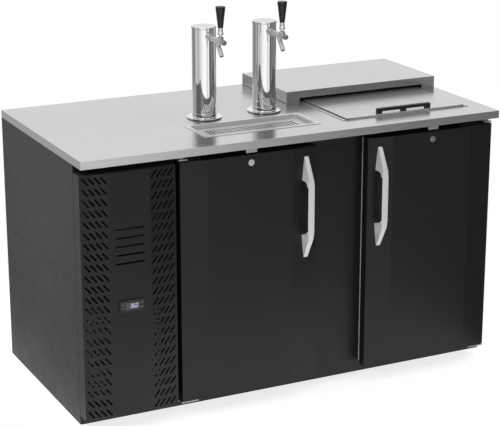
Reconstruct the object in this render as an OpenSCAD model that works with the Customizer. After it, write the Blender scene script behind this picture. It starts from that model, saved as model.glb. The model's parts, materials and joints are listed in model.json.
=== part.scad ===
// Draft beer cooler: a two-door under-counter cabinet with two draft towers, a drip tray,
// a sliding club lid that runs back under a hood, and a vented machine compartment on the left.
// Inside the modules x runs right from the counter's left edge, y runs back from its front edge
// and z runs up from the cabinet's underside; seat() then stands the cooler centred on the floor.

/* [Counter] */
// Width of the counter and of the whole cooler
counter_w = 1499; // [1440:1:1600]
// Depth of the counter from its front edge to its back edge
counter_d = 752; // [735:1:800]
// Height of the counter's top above the cabinet's underside
counter_h = 879; // [850:1:920]
// Thickness of the counter's edge
counter_t = 26; // [24:1:34]

/* [Cabinet] */
// Distance of the cabinet's face behind the counter's front edge
front_setback = 70; // [66:1:80]
// Height of the base under the cabinet
sill_h = 48; // [42:1:56]
// Thickness of the insulated floor
floor_t = 40; // [24:1:60]
// Thickness of the insulated back wall
back_t = 46; // [30:1:60]
// Height of the seam between the two left-hand side panels
side_seam_h = 472; // [400:1:560]
// Height of the levelling feet
foot_h = 25; // [20:1:60]
// Thickness of the painted and stainless sheet
sheet_t = 1.5; // [1:0.1:2]
// Thickness of the inner lining
liner_t = 1; // [0.6:0.1:1.5]
// Thickness of the face frame round the doorways
face_t = 2; // [1.5:0.1:3]

/* [Grille] */
// Width of the machine compartment's grille
grille_w = 317; // [300:1:340]
// Height of the grille's lower edge above the underside
grille_bottom = 31; // [26:1:40]
// Gap between the grille's upper edge and the counter
grille_top_gap = 23; // [18:1:30]
// Length of one vent slot
slot_len = 30; // [24:1:32]
// Width of one vent slot
slot_w = 5.5; // [4:0.5:7]
// Tilt of the vent slots from level
slot_angle = 50; // [40:1:60]
// Distance from one row of slots to the next
slot_pitch = 34.5; // [32:0.5:42]
// Distance from one slot to the next within a row
slot_step = 19.3; // [17:0.1:20]
// Slots in each row of a side band
slot_count = 4; // [3:1:4]
// Distance of the slots from the grille's side edges
slot_margin = 8; // [6:0.5:10]
// Plain level slots above the controller
louvre_count = 5; // [3:1:7]
// Width of a level slot
louvre_w = 96; // [70:1:110]

/* [Controller] */
// Width of the controller's bezel
display_w = 84; // [80:1:96]
// Height of the controller's bezel
display_h = 37; // [34:1:44]
// Height of the controller's middle above the underside
display_z = 397; // [340:1:460]
// Travel that the keys need behind their collars
key_travel = 0.6; // [0.4:0.1:1]

/* [Doors] */
// Gap between a door's hinge edge and its neighbour
door_gap = 15; // [13:1:20]
// Face of the mullion that shows between the doors
mullion_w = 190; // [150:1:230]
// Gap between the doors and the counter
door_top_gap = 20; // [19:1:26]
// Height of the doors' lower edge above the underside
door_bottom = 35; // [34:1:40]
// Distance of the doors' edges behind the counter's front edge
door_setback = 20; // [18:1:24]
// Thickness of a door at its edges
door_t = 32; // [30:1:34]
// How far the middle of a bowed front stands ahead of its edges
door_bow = 10; // [6:1:12]
// Width of the slanted band along each side of a bowed front
bow_band = 91; // [80:1:100]
// Width of the door gasket
gasket_w = 18; // [14:1:22]
// Inset of the gasket from the door's free, upper and lower edges
gasket_inset = 4; // [2:1:8]
// Inset of the hinge pivot from the door's hinge edge
pivot_inset = 12; // [11:1:14]
// Radius of a hinge pin
hinge_pin_r = 5; // [4:0.5:6]

/* [Door handles] */
// Length of a handle on the door
handle_len = 338; // [300:1:380]
// Length of the handle's flat front between its bends
grip_len = 196; // [188:1:220]
// Height of the finger opening behind the grip
finger_h = 182; // [150:1:186]
// Radius of the rounding at both ends of the finger opening
finger_round = 18; // [10:1:20]
// Thickness of the grip from front to back
grip_t = 8; // [6:1:12]
// Width of the grip's front
handle_w = 23; // [20:1:28]
// Width of the grip's back
grip_back_w = 12; // [8:1:18]
// Width of the handle at its bends
handle_bend_w = 17; // [14:1:19]
// Width of the handle's legs on the door, beside the finger opening
handle_leg_w = 32; // [26:1:36]
// Width of the handle at its tips
handle_tip_w = 14.5; // [10:0.5:18]
// How far the handles stand ahead of the counter's front edge
handle_reach = 25; // [20:1:35]
// Distance of the handle's middle line from the door's free edge
handle_edge = 42; // [36:1:56]
// Distance of the handle's middle below the door's upper edge
handle_drop = 200; // [180:1:260]

/* [Locks] */
// Radius of the lock barrel
lock_r = 10.5; // [9:0.5:12]
// Radius of the turning plug
plug_r = 6; // [5:0.5:7]
// Distance of the lock below the door's upper edge
lock_drop = 26; // [22:1:28]
// Length of the cam from the plug's axis
cam_len = 40; // [38:1:41]
// Width of the strike tab under the counter
strike_w = 39; // [30:1:50]
// Height of the strike tab under the counter
strike_h = 13; // [10:1:15]

/* [Club lid] */
// Width of the hood
hood_w = 594; // [560:1:600]
// Depth of the hood
hood_d = 345; // [330:1:352]
// Height of the hood above the counter
hood_h = 41; // [34:1:60]
// Gap from the hood to the counter's right edge
hood_side_gap = 3; // [2:1:12]
// Gap from the hood to the counter's back edge
hood_back_gap = 4; // [2:1:12]
// Width of the sliding lid
lid_w = 456; // [452:1:480]
// Length of the sliding lid
lid_len = 336; // [330:1:345]
// Distance of the closed lid's front edge behind the counter's front edge
lid_front = 108; // [105:1:114]
// Height of the lid above the counter
lid_h = 6; // [5:0.5:9]
// Width of the rails beside the lid
lid_rail_w = 13; // [8:1:16]
// Height of the rails and of the stop above the counter
lid_rail_h = 2; // [1:0.5:4]
// Thickness of the stop ahead of the lid
lid_stop_t = 4; // [3:0.5:8]
// Height of the hood's slot for the lid
lid_slot_h = 16; // [12:1:18]
// Width of the hatch under the lid
hatch_w = 424; // [380:1:424]
// Depth of the hatch under the lid
hatch_d = 256; // [220:1:260]
// Width of the lid's handle
lid_grip_w = 205; // [160:1:240]
// Height of the lid's handle
lid_grip_h = 16; // [14:0.5:26]
// Height of the finger openings under the lid's handle
lid_finger_h = 6; // [5:0.5:8]
// Thickness of the lid's handle from front to back
lid_grip_t = 14; // [10:1:18]

/* [Drip tray] */
// Width of the tray's opening
tray_w = 392; // [340:1:400]
// Depth of the tray's opening from front to back
tray_d = 141; // [120:1:150]
// Distance of the opening behind the counter's front edge
tray_front = 115; // [105:1:125]
// Width of the rim that lies on the counter
tray_rim = 12; // [10:1:18]
// Corner radius of the tray's opening
tray_corner = 10; // [10:1:20]
// Corner radius of the tray's rim
rim_corner = 8; // [4:1:24]
// Depth of the tray below the counter's top
tray_depth = 22; // [20:1:24]
// Depth of the grid's top below the counter's top
grid_drop = 11; // [9:1:13]
// Gap between the tray's rim and the hood
tray_hood_gap = 28; // [15:1:40]
// Outer radius of the tray's drain spout
drain_r = 9; // [7:0.5:12]

/* [Draft towers] */
// Distance between the two towers
tower_pitch = 221; // [200:1:240]
// Distance of the towers behind the counter's front edge
tower_y = 350; // [344:1:366]
// Offset of the pair of towers to the right of the tray's middle
tower_shift = 13; // [0:0.5:30]
// Height of a tower above the counter
tower_h = 308; // [280:1:340]
// Outer diameter of a column
column_d = 79; // [72:1:80]
// Diameter of the base flange
flange_d = 116; // [110:1:124]
// Diameter of the cap
cap_d = 82; // [81:1:88]
// Distance of the faucet's axis below the top of the tower
faucet_drop = 32; // [27:1:36]
// Distance of the tap lever ahead of the column's axis
lever_reach = 128; // [120:1:134]
// Height of the tap handle
tap_handle_h = 69; // [60:1:90]

/* [Hidden] */
$fn = 48;
// running clearance of a pin in its bore, gap between moving bodies, gap between seated pieces
fit = 0.05;
gap = 0.4;
seat_gap = 0.1;
over = 1;

// heights
counter_under = counter_h - counter_t;
door_top = counter_under - door_top_gap;
grille_top = counter_under - grille_top_gap;
cavity_z0 = sill_h + floor_t;
cavity_z1 = door_top - gasket_inset - gasket_w;

// fronts and backs
face_y = front_setback;
shell_y0 = face_y + face_t;
door_edge_y = door_setback;
door_front_y = door_setback - door_bow;
door_back_y = door_setback + door_t;
pivot_y = door_setback + door_t / 2;
cavity_y1 = counter_d - back_t;
y_mid = (counter_d - handle_reach) / 2;

// doors and doorways, left to right
door_w = (counter_w - grille_w - mullion_w - 2 * door_gap) / 2;
left_x0 = grille_w + door_gap;
left_x1 = left_x0 + door_w;
right_x1 = counter_w - door_gap;
right_x0 = right_x1 - door_w;
doors_mid = (left_x0 + right_x1) / 2;
hinge_side_inset = pivot_inset + 2;
shell_x0 = grille_w + 1;
cavity_x0 = left_x0 + hinge_side_inset + gasket_w;
cavity_x1 = right_x1 - hinge_side_inset - gasket_w;
mullion_x0 = left_x1 - gasket_inset - gasket_w;
mullion_x1 = right_x0 + gasket_inset + gasket_w;
mullion_d = 40;
left_mid = (left_x0 + left_x1) / 2;
lock_z = door_top - lock_drop;
cam_y = door_front_y + sheet_t + 1;
cam_t = 3;
pivot_x = left_x0 + pivot_inset;
pin_depth = 25;

// club lid
hood_x1 = counter_w - hood_side_gap;
hood_x0 = hood_x1 - hood_w;
hood_mid = (hood_x0 + hood_x1) / 2;
hood_y1 = counter_d - hood_back_gap;
hood_y0 = hood_y1 - hood_d;
lid_x0 = hood_mid - lid_w / 2;
lid_x1 = hood_mid + lid_w / 2;
lid_top = counter_h + lid_h;
rail_gap = 1.5;
rail_x0 = lid_x0 - rail_gap - lid_rail_w;
rail_x1 = lid_x1 + rail_gap + lid_rail_w;
stop_y0 = lid_front - rail_gap - lid_stop_t;
track_w = 8;
track_inset = sheet_t + 3;
hatch_y0 = lid_front + 26;

// drip tray
tray_x1 = hood_x0 - tray_hood_gap - tray_rim;
tray_x0 = tray_x1 - tray_w;
tray_mid = [(tray_x0 + tray_x1) / 2, tray_front + tray_d / 2];
tray_floor = counter_h - tray_depth;
tray_ledge = 8;
grid_t = 1.2;
grid_top = counter_h - grid_drop;
grid_gap = 1.5;
grid_margin = 28;
grid_slot_len = 20;
grid_slot_w = 6;
grid_pitch = [12.1, 25.5];
drain_wall = 2;
drain_len = counter_h - cavity_z1 + 20;
strainer_count = 6;

// towers and faucets
tower_x = [tray_mid[0] + tower_shift - tower_pitch / 2, tray_mid[0] + tower_shift + tower_pitch / 2];
flange_t = 6;
cap_t = 9;
column_wall = 1.5;
column_top = counter_h + tower_h - cap_t;
faucet_z = counter_h + tower_h - faucet_drop;
column_front = tower_y - column_d / 2;
collar_t = 12;
collar_r = 12.5;
collar_sink = 6;
shank_r = 11;
shank_bore_r = 5;
nut_r = 12;
nut_t = 10;
body_r = 9;
lever_y = tower_y - lever_reach;
pivot_z = faucet_z + 6;
ball_r = 6.5;
lever_pin_r = 2;
cup_r = 10;
cup_top = pivot_z + 4.2;
nose_at = 21;
nose_r = 8.5;
neck_r = 6;
spout_r = 7.3;
spout_bore_r = 5;
spout_bore_len = 20;
spout_back = 26;
spout_lead = 8;
spout_start = 4;
spout_drop = 47;
bonnet_t = 4;
bonnet_lip = 0.8;
bonnet_hole_r = 8.2;
stud_r = 3.5;
ferrule_z0 = pivot_z + 17;
ferrule_z1 = pivot_z + 38;

// machine compartment and evaporator
base_rail = 40;
deck_t = 4;
base_side_rail = 100;
foot_x = 80;
foot_r = 20;
foot_stud_r = 6;
rear_recess = 10;
condenser_h = 300;
condenser_w = grille_w - 60;
condenser_y = face_y + 16;
condenser_t = 60;
fan_mid = [grille_w / 2, sill_h + condenser_h / 2];
fan_r = 105;
motor_len = 50;
motor_r = 32;
shaft_r = 4;
shaft_len = 30;
fan_hub_len = 20;
fan_gap = 6;
motor_y = condenser_y + condenser_t + 70;
compressor_at = [grille_w / 2, counter_d - 250];
compressor_r = 80;
compressor_h = 190;
compressor_stand = 18;
evap_x0 = cavity_x0 + seat_gap + liner_t + seat_gap;
evap_z1 = cavity_z1 - seat_gap - liner_t - seat_gap;
evap_w = 140;
evap_h = 230;
evap_d = 360;
evap_y1 = cavity_y1 - 20;
evap_fan_mid = [evap_y1 - evap_d / 2, evap_z1 - evap_h / 2];
evap_fan_r = 80;
evap_coil_t = 44;
evap_motor_x = evap_x0 + evap_w - 84;
pipe_r = 5;
suction_at = [evap_y1 - 30, evap_z1 - 40];

// controller
control_mid = grille_w / 2;
bezel_t = 4;
bezel_y = door_front_y - bezel_t;
lens_w = 44;
lens_h = 22;
key_w = 8;
key_h = 5;
key_proud = 0.8;
key_collar = 1;

black_paint = [0.16, 0.16, 0.165];
side_paint = [0.3, 0.3, 0.31];
dark_plastic = [0.08, 0.08, 0.085];
steel = [0.8, 0.81, 0.82];
zinc = [0.86, 0.86, 0.84];
chrome = [0.88, 0.89, 0.9];
satin = [0.74, 0.74, 0.75];
vinyl = [0.62, 0.62, 0.62];
foam = [0.9, 0.89, 0.84];
copper = [0.72, 0.43, 0.26];

// Stands the cooler on the floor plane, centred left to right and front to back
module seat() {
    translate([-counter_w / 2, -y_mid, foot_h]) children();
}

// Repeats a piece of the left door as its mirror image on the right door
module on_right_door() {
    translate([2 * doors_mid, 0, 0]) mirror([1, 0, 0]) children();
}

module on_both_doors() {
    children();
    on_right_door() children();
}

module at_towers() {
    for (x = tower_x) translate([x, 0, 0]) children();
}

// Box from one corner to the opposite one
module block(a, b) {
    translate(a) cube(b - a);
}

module post(x, y, z0, z1, r) {
    translate([x, y, z0]) cylinder(h = z1 - z0, r = r);
}

module rod_x(y, z, x0, x1, r) {
    translate([x0, y, z]) rotate([0, 90, 0]) cylinder(h = x1 - x0, r = r);
}

module rod_y(x, z, y0, y1, r) {
    translate([x, y0, z]) rotate([-90, 0, 0]) cylinder(h = y1 - y0, r = r);
}

// Tube along a list of points, with a ball at every bend
module pipe(points, r) {
    for (i = [0 : len(points) - 2]) {
        d = points[i + 1] - points[i];
        translate(points[i]) rotate([0, acos(d[2] / norm(d)), atan2(d[1], d[0])])
            cylinder(h = norm(d), r = r);
    }
    for (i = [1 : 1 : len(points) - 2]) translate(points[i]) sphere(r = r);
}

// Rectangle with round corners, centred
module round_rect(w, d, r) {
    square([w - 2 * r, d], center = true);
    square([w, d - 2 * r], center = true);
    for (x = [-1, 1], y = [-1, 1]) translate([x * (w / 2 - r), y * (d / 2 - r)]) circle(r = r);
}

// Slot with round ends, centred, lying along x
module slot(length, width) {
    square([length - width, width], center = true);
    for (x = [-1, 1]) translate([x * (length - width) / 2, 0]) circle(d = width, $fn = 24);
}

// Plan of a front that is bowed in three flats, from x0 to x1 and back to y1
module bowed_plan(x0, x1, y1, inset = 0, setback = 0) {
    polygon([[x0 + inset, y1], [x0 + inset, door_edge_y + setback], [x0 + bow_band, door_front_y + setback],
        [x1 - bow_band, door_front_y + setback], [x1 - inset, door_edge_y + setback], [x1 - inset, y1]]);
}

// Opening of the club hatch, between two heights
module hatch_cut(z0, z1) {
    block([hood_mid - hatch_w / 2, hatch_y0, z0], [hood_mid + hatch_w / 2, hatch_y0 + hatch_d, z1]);
}

// Holes under the towers for the beer lines, and the hole for the tray's drain
module service_cuts(z0, z1) {
    for (x = tower_x) post(x, tower_y, z0, z1, column_d / 2 - 12);
    post(tray_mid[0], tray_mid[1], z0, z1, drain_r + 2);
}

// Cabinet
module base_frame() {
    color(black_paint) seat() difference() {
        union() {
            difference() {
                block([sheet_t + seat_gap, face_y, 0], [counter_w, counter_d, sill_h - seat_gap]);
                block([base_side_rail, face_y + base_rail, -over],
                    [counter_w - base_side_rail, counter_d - base_rail, sill_h - seat_gap - deck_t]);
            }
            block([shell_x0, face_y + base_rail - over, 0],
                [shell_x0 + base_rail, counter_d - base_rail + over, sill_h - seat_gap]);
        }
        foot_holes();
    }
}

module at_feet() {
    for (x = [foot_x, counter_w - foot_x], y = [face_y + foot_x + foot_r, counter_d - foot_x])
        translate([x, y, 0]) children();
}

module foot_holes() {
    at_feet() translate([0, 0, -over]) cylinder(h = sill_h * 0.7 + over, r = foot_stud_r + fit);
}

module levelling_feet() {
    color(dark_plastic) seat() at_feet() {
        translate([0, 0, -foot_h]) cylinder(h = foot_h * 0.35, r = foot_r);
        translate([0, 0, -foot_h]) cylinder(h = foot_h - seat_gap, r = foot_r * 0.6);
        cylinder(h = sill_h * 0.6, r = foot_stud_r);
        translate([0, 0, -seat_gap - over]) cylinder(h = over + 2 * seat_gap, r = foot_stud_r);
    }
}

// Cuts through the ceiling and the divider wall, the same in the shell, the foam and the lining
module cabinet_cuts() {
    hatch_cut(cavity_z1 - 10, counter_h + over);
    service_cuts(cavity_z1 - 10, counter_h + over);
    rod_x(suction_at[0], suction_at[1], shell_x0 - over, cavity_x0 + 10, pipe_r + 1);
}

// Outer steel wrapper of the keg cabinet, open to the front
module cabinet_shell() {
    color(black_paint) seat() difference() {
        block([shell_x0, shell_y0, sill_h], [counter_w, counter_d, counter_under - seat_gap]);
        block([shell_x0 + sheet_t, shell_y0 - over, sill_h + sheet_t],
            [counter_w - sheet_t, counter_d - sheet_t, counter_under - seat_gap - sheet_t]);
        cabinet_cuts();
    }
}

// Insulation between the wrapper and the lining
module cabinet_foam() {
    inner = sheet_t + seat_gap;
    color(foam) seat() difference() {
        block([shell_x0 + inner, shell_y0 + seat_gap, sill_h + inner],
            [counter_w - inner, counter_d - inner, counter_under - seat_gap - inner]);
        block([cavity_x0, shell_y0 - over, cavity_z0], [cavity_x1, cavity_y1, cavity_z1]);
        cabinet_cuts();
    }
}

module cabinet_liner() {
    inner = seat_gap + liner_t;
    color(satin) seat() difference() {
        block([cavity_x0 + seat_gap, shell_y0 + mullion_d + over, cavity_z0 + seat_gap],
            [cavity_x1 - seat_gap, cavity_y1 - seat_gap, cavity_z1 - seat_gap]);
        block([cavity_x0 + inner, shell_y0, cavity_z0 + inner],
            [cavity_x1 - inner, cavity_y1 - inner, cavity_z1 - inner]);
        cabinet_cuts();
    }
}

module face_frame() {
    strip = 20;
    y1 = shell_y0 - seat_gap;
    color(black_paint) seat() {
        block([0, face_y, cavity_z1], [counter_w, y1, counter_under - seat_gap]);
        block([0, face_y, sill_h], [strip, y1, cavity_z1 + over]);
        block([shell_x0 - strip, face_y, sill_h], [cavity_x0, y1, cavity_z1 + over]);
        block([shell_x0 - strip, face_y, sill_h], [mullion_x0 - seat_gap, y1, cavity_z0]);
        block([cavity_x1, face_y, sill_h], [counter_w, y1, cavity_z1 + over]);
        block([mullion_x1 + seat_gap, face_y, sill_h], [counter_w, y1, cavity_z0]);
    }
}

module centre_mullion() {
    color(black_paint) seat() {
        block([mullion_x0, face_y, sill_h], [mullion_x1, shell_y0 - seat_gap, cavity_z1 - seat_gap]);
        block([mullion_x0, face_y + seat_gap, cavity_z0 + seat_gap],
            [mullion_x1, shell_y0 + mullion_d, cavity_z1 - seat_gap]);
    }
}

panel_screw_r = 2.8;
panel_screw_inset = 16;
panel_top_screws = 6;
panel_y0 = shell_y0 + 0.5;

panel_seam_gap = 0.5;
upper_panel_z = [side_seam_h + panel_seam_gap, counter_under - seat_gap];
lower_panel_z = [0, side_seam_h - panel_seam_gap];
screw_y = [panel_y0 + panel_screw_inset, counter_d - panel_screw_inset];

// Places of the screws: a row under the counter, and a few down the front and back edges near the seam
upper_screws = concat(
    [for (i = [0 : panel_top_screws - 1])
        [screw_y[0] + i * (screw_y[1] - screw_y[0]) / (panel_top_screws - 1), upper_panel_z[1] - 10]],
    [for (y = screw_y) [y, upper_panel_z[0] + 3 * panel_screw_inset]]);
lower_screws = [for (y = screw_y, k = [1, 2.75]) [y, lower_panel_z[1] - k * panel_screw_inset]];

module at_screws(places) {
    for (p = places) translate([0, p[0], p[1]]) rotate([0, 90, 0]) children();
}

module side_panel(z, screws) {
    color(side_paint) seat() difference() {
        block([0, panel_y0, z[0]], [sheet_t, counter_d, z[1]]);
        at_screws(screws) translate([0, 0, -over]) cylinder(h = sheet_t + 2 * over, r = panel_screw_r + 0.2);
    }
}

module lower_side_panel() {
    side_panel(lower_panel_z, lower_screws);
}

module upper_side_panel() {
    side_panel(upper_panel_z, upper_screws);
}

module panel_screws() {
    color(dark_plastic) seat() at_screws(concat(upper_screws, lower_screws)) panel_screw();
}

module panel_screw() {
    cylinder(h = sheet_t, r = panel_screw_r, $fn = 24);
}

module rear_vent_panel() {
    y1 = counter_d - rear_recess;
    rows = 10;
    color(side_paint) seat() difference() {
        block([sheet_t + seat_gap, y1 - sheet_t, sill_h],
            [shell_x0 - seat_gap, y1, counter_under - seat_gap]);
        for (i = [0 : rows - 1], x = [0.3, 0.7])
            translate([shell_x0 * x, y1 + over, side_seam_h + (i - rows / 2) * 26]) rotate([90, 0, 0])
                linear_extrude(sheet_t + 2 * over) slot(90, 8);
        rod_y(gland_x, gland_z, y1 - sheet_t - over, y1 + over, gland_r + seat_gap);
    }
}

gland_x = 70;
gland_z = sill_h + 70;
gland_r = 11;
gland_bore_r = 5;

module cord_gland() {
    y1 = counter_d - rear_recess;
    color(dark_plastic) seat() difference() {
        union() {
            rod_y(gland_x, gland_z, y1 - 10, y1 + 6, gland_r);
            rod_y(gland_x, gland_z, y1 + seat_gap, y1 + 4, gland_r + 4);
            rod_y(gland_x, gland_z, y1 - 8, y1 - sheet_t - seat_gap, gland_r + 4);
        }
        rod_y(gland_x, gland_z, y1 - 10 - over, y1 + 6 + over, gland_bore_r);
    }
}

// Grille and controller
module grille_frame() {
    h = grille_top - grille_bottom;
    color(black_paint) seat() difference() {
        translate([0, 0, grille_bottom]) linear_extrude(h)
            bowed_plan(0, grille_w, face_y - seat_gap, 0, sheet_t + seat_gap);
        translate([0, 0, grille_bottom + sheet_t]) linear_extrude(h - 2 * sheet_t)
            bowed_plan(0, grille_w, face_y + over, sheet_t, -over);
    }
}

slot_rows = floor((grille_top - grille_bottom - 4) / slot_pitch);
slot_z0 = (grille_top + grille_bottom - (slot_rows - 1) * slot_pitch) / 2;

// One side band of tilted vent slots, drawn flat for the left side
module slot_band() {
    rise = slot_w / 2 + (slot_len - slot_w) / 2 * cos(slot_angle);
    for (i = [0 : slot_count - 1], j = [0 : slot_rows - 1])
        translate([slot_margin + rise + i * slot_step, slot_z0 + j * slot_pitch])
            rotate(-slot_angle) slot(slot_len, slot_w);
}

module vent_grille() {
    color(black_paint) seat() difference() {
        translate([0, 0, grille_bottom]) linear_extrude(grille_top - grille_bottom) difference() {
            bowed_plan(0, grille_w, door_edge_y + sheet_t);
            bowed_plan(0, grille_w, door_edge_y + sheet_t + over, -over, sheet_t);
        }
        translate([0, door_back_y, 0]) rotate([90, 0, 0]) linear_extrude(door_back_y) {
            slot_band();
            translate([grille_w, 0]) mirror([1, 0]) slot_band();
            for (i = [0 : louvre_count - 1])
                translate([control_mid, display_z + 140 + i * slot_pitch * 0.8]) slot(louvre_w, slot_w);
        }
        control_body(seat_gap);
    }
}

// Body of the controller behind the grille, grown by a clearance for its cut-out
module control_body(clear) {
    half_w = display_w / 2 - 3 + clear;
    half_h = display_h / 2 - 4 + clear;
    block([control_mid - half_w, bezel_y + 1, display_z - half_h],
        [control_mid + half_w, door_back_y + clear, display_z + half_h]);
}

module controller_housing() {
    color(dark_plastic) seat() difference() {
        union() {
            block([control_mid - display_w / 2, bezel_y, display_z - display_h / 2],
                [control_mid + display_w / 2, door_front_y - seat_gap, display_z + display_h / 2]);
            control_body(0);
        }
        block([control_mid - lens_w / 2 - seat_gap, bezel_y - over, display_z - lens_h / 2 - seat_gap],
            [control_mid + lens_w / 2 + seat_gap, bezel_y + 2, display_z + lens_h / 2 + seat_gap]);
        for (side = [-1, 1], level = [-1, 1]) key_place(side, level) key_pocket();
    }
}

module controller_lens() {
    color([0.1, 0.1, 0.12]) seat()
        block([control_mid - lens_w / 2, bezel_y + 0.3, display_z - lens_h / 2],
            [control_mid + lens_w / 2, bezel_y + 2 - seat_gap, display_z + lens_h / 2]);
}

module key_place(side, level) {
    translate([control_mid + side * (lens_w + display_w) / 4, bezel_y, display_z + level * 6]) children();
}

module key_pocket() {
    w = key_w + 2 * gap;
    h = key_h + 2 * gap;
    block([-w / 2, -over, -h / 2], [w / 2, 3 + over, h / 2]);
    block([-w / 2 - key_collar, 3, -h / 2 - key_collar],
        [w / 2 + key_collar, 6 + key_travel, h / 2 + key_collar]);
}

module key_cap(side, level) {
    color(satin) seat() key_place(side, level) {
        block([-key_w / 2, -key_proud, -key_h / 2], [key_w / 2, 4, key_h / 2]);
        block([-key_w / 2 - key_collar, 3 + gap, -key_h / 2 - key_collar],
            [key_w / 2 + key_collar, 6 - gap, key_h / 2 + key_collar]);
    }
}

module key_top_left() {
    key_cap(-1, 1);
}

module key_bottom_left() {
    key_cap(-1, -1);
}

module key_top_right() {
    key_cap(1, 1);
}

module key_bottom_right() {
    key_cap(1, -1);
}

// Counter
module countertop() {
    color(steel) seat() difference() {
        block([0, 0, counter_under], [counter_w, counter_d, counter_h]);
        block([sheet_t, sheet_t, counter_under + sheet_t],
            [counter_w - sheet_t, counter_d - sheet_t, counter_h - sheet_t]);
        block([sheet_t, face_y + 10, counter_under - over],
            [counter_w - sheet_t, counter_d - sheet_t, counter_h - sheet_t]);
        tray_plan(counter_under - over, counter_h + over, seat_gap);
        hatch_cut(counter_under - over, counter_h + over);
        for (x = tower_x) post(x, tower_y, counter_under - over, counter_h + over, column_d / 2 - 12);
    }
}

module lock_strikes() {
    tab_y = door_front_y - 4;
    color(zinc) seat() on_both_doors() {
        block([left_mid - strike_w / 2, tab_y, counter_under - strike_h],
            [left_mid + strike_w / 2, tab_y + 2, counter_under - seat_gap]);
        block([left_mid - strike_w / 2, tab_y, counter_under - 2],
            [left_mid + strike_w / 2, face_y - 20, counter_under - seat_gap]);
    }
}

// Solid of the tray's opening between two heights, grown by a clearance
module tray_plan(z0, z1, clear, corner = tray_corner) {
    translate([tray_mid[0], tray_mid[1], z0]) linear_extrude(z1 - z0)
        round_rect(tray_w + 2 * clear, tray_d + 2 * clear, corner);
}

module drip_tray() {
    inner = -sheet_t - seat_gap;
    color(steel) seat() difference() {
        union() {
            tray_plan(counter_h + seat_gap, counter_h + sheet_t, tray_rim, rim_corner);
            tray_plan(tray_floor, counter_h + sheet_t, -seat_gap);
            post(tray_mid[0], tray_mid[1], counter_h - drain_len, tray_floor + over, drain_r);
        }
        tray_plan(grid_top - grid_t - gap, counter_h + sheet_t + over, inner);
        tray_plan(tray_floor + sheet_t, counter_h, inner - tray_ledge);
        post(tray_mid[0], tray_mid[1], counter_h - drain_len - over, tray_floor, drain_r - drain_wall);
        strainer_holes();
    }
}

// Holes of the strainer in the tray's floor, over the drain's bore
module strainer_holes() {
    bore_r = drain_r - drain_wall;
    translate([tray_mid[0], tray_mid[1], tray_floor - over]) for (i = [0 : strainer_count - 1])
        rotate(i * 360 / strainer_count) translate([bore_r * 0.6, 0, 0])
            cylinder(h = sheet_t + 2 * over, r = bore_r * 0.22, $fn = 24);
}

module drip_grid() {
    w = tray_w - 2 * (sheet_t + seat_gap + grid_gap);
    d = tray_d - 2 * (sheet_t + seat_gap + grid_gap);
    columns = floor((w - 2 * grid_margin) / grid_pitch[0]);
    rows = floor((d - 2 * grid_margin) / grid_pitch[1]);
    color(steel) seat() translate([tray_mid[0], tray_mid[1], grid_top - grid_t])
        linear_extrude(grid_t) difference() {
            round_rect(w, d, tray_corner - sheet_t);
            for (i = [0 : columns - 1], j = [0 : rows - 1])
                translate([(i - (columns - 1) / 2) * grid_pitch[0], (j - (rows - 1) / 2) * grid_pitch[1]])
                    rotate(90) slot(grid_slot_len, grid_slot_w);
        }
}

// Draft towers
module tower_flanges() {
    hub_r = column_d / 2 + seat_gap + column_wall;
    color(chrome) seat() at_towers() difference() {
        union() {
            post(0, tower_y, counter_h + seat_gap, counter_h + flange_t, flange_d / 2);
            post(0, tower_y, counter_h + flange_t - over, counter_h + flange_t + 14, hub_r);
        }
        post(0, tower_y, counter_h - over, counter_h + flange_t + over, column_d / 2 - 12);
        post(0, tower_y, counter_h + flange_t, counter_h + flange_t + 14 + over, column_d / 2 + seat_gap);
    }
}

module tower_columns() {
    color(chrome) seat() at_towers() difference() {
        post(0, tower_y, counter_h + flange_t + seat_gap, column_top, column_d / 2);
        post(0, tower_y, counter_h + flange_t, column_top + over, column_d / 2 - column_wall);
        rod_y(0, faucet_z, tower_y - column_d, tower_y, shank_r + seat_gap);
    }
}

module tower_caps() {
    dome = 2;
    dome_r = (pow(cap_d / 2, 2) + pow(dome, 2)) / (2 * dome);
    plug = column_d / 2 - column_wall - seat_gap;
    color(chrome) seat() at_towers() translate([0, tower_y, column_top]) {
        rotate_extrude() intersection() {
            translate([0, seat_gap]) square([cap_d / 2, cap_t - seat_gap]);
            translate([0, cap_t - dome_r]) circle(r = dome_r, $fn = 720);
        }
        translate([0, 0, -6]) cylinder(h = 6 + over, r = plug);
    }
}

module faucet_shanks() {
    color(chrome) seat() at_towers() difference() {
        union() {
            rod_y(0, faucet_z, column_front - collar_t, column_front + collar_sink, collar_r);
            rod_y(0, faucet_z, column_front - collar_t, tower_y, shank_r);
        }
        difference() {
            post(0, tower_y, faucet_z - 2 * collar_r, faucet_z + 2 * collar_r, column_d / 2 + seat_gap);
            rod_y(0, faucet_z, column_front - collar_t, tower_y + over, shank_r);
        }
        rod_y(0, faucet_z, column_front - collar_t - over, tower_y + over, shank_bore_r);
    }
}

// Turned front end of a faucet, from its nose back to the collar on the column
module faucet_turning() {
    y1 = column_front - collar_t - seat_gap;
    rod_y(0, faucet_z, y1 - nut_t, y1, nut_r);
    rod_y(0, faucet_z, lever_y - body_r, y1, body_r);
    rod_y(0, faucet_z, lever_y - nose_at, lever_y, neck_r);
    translate([0, lever_y - nose_at, faucet_z]) sphere(r = nose_r);
}

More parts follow.
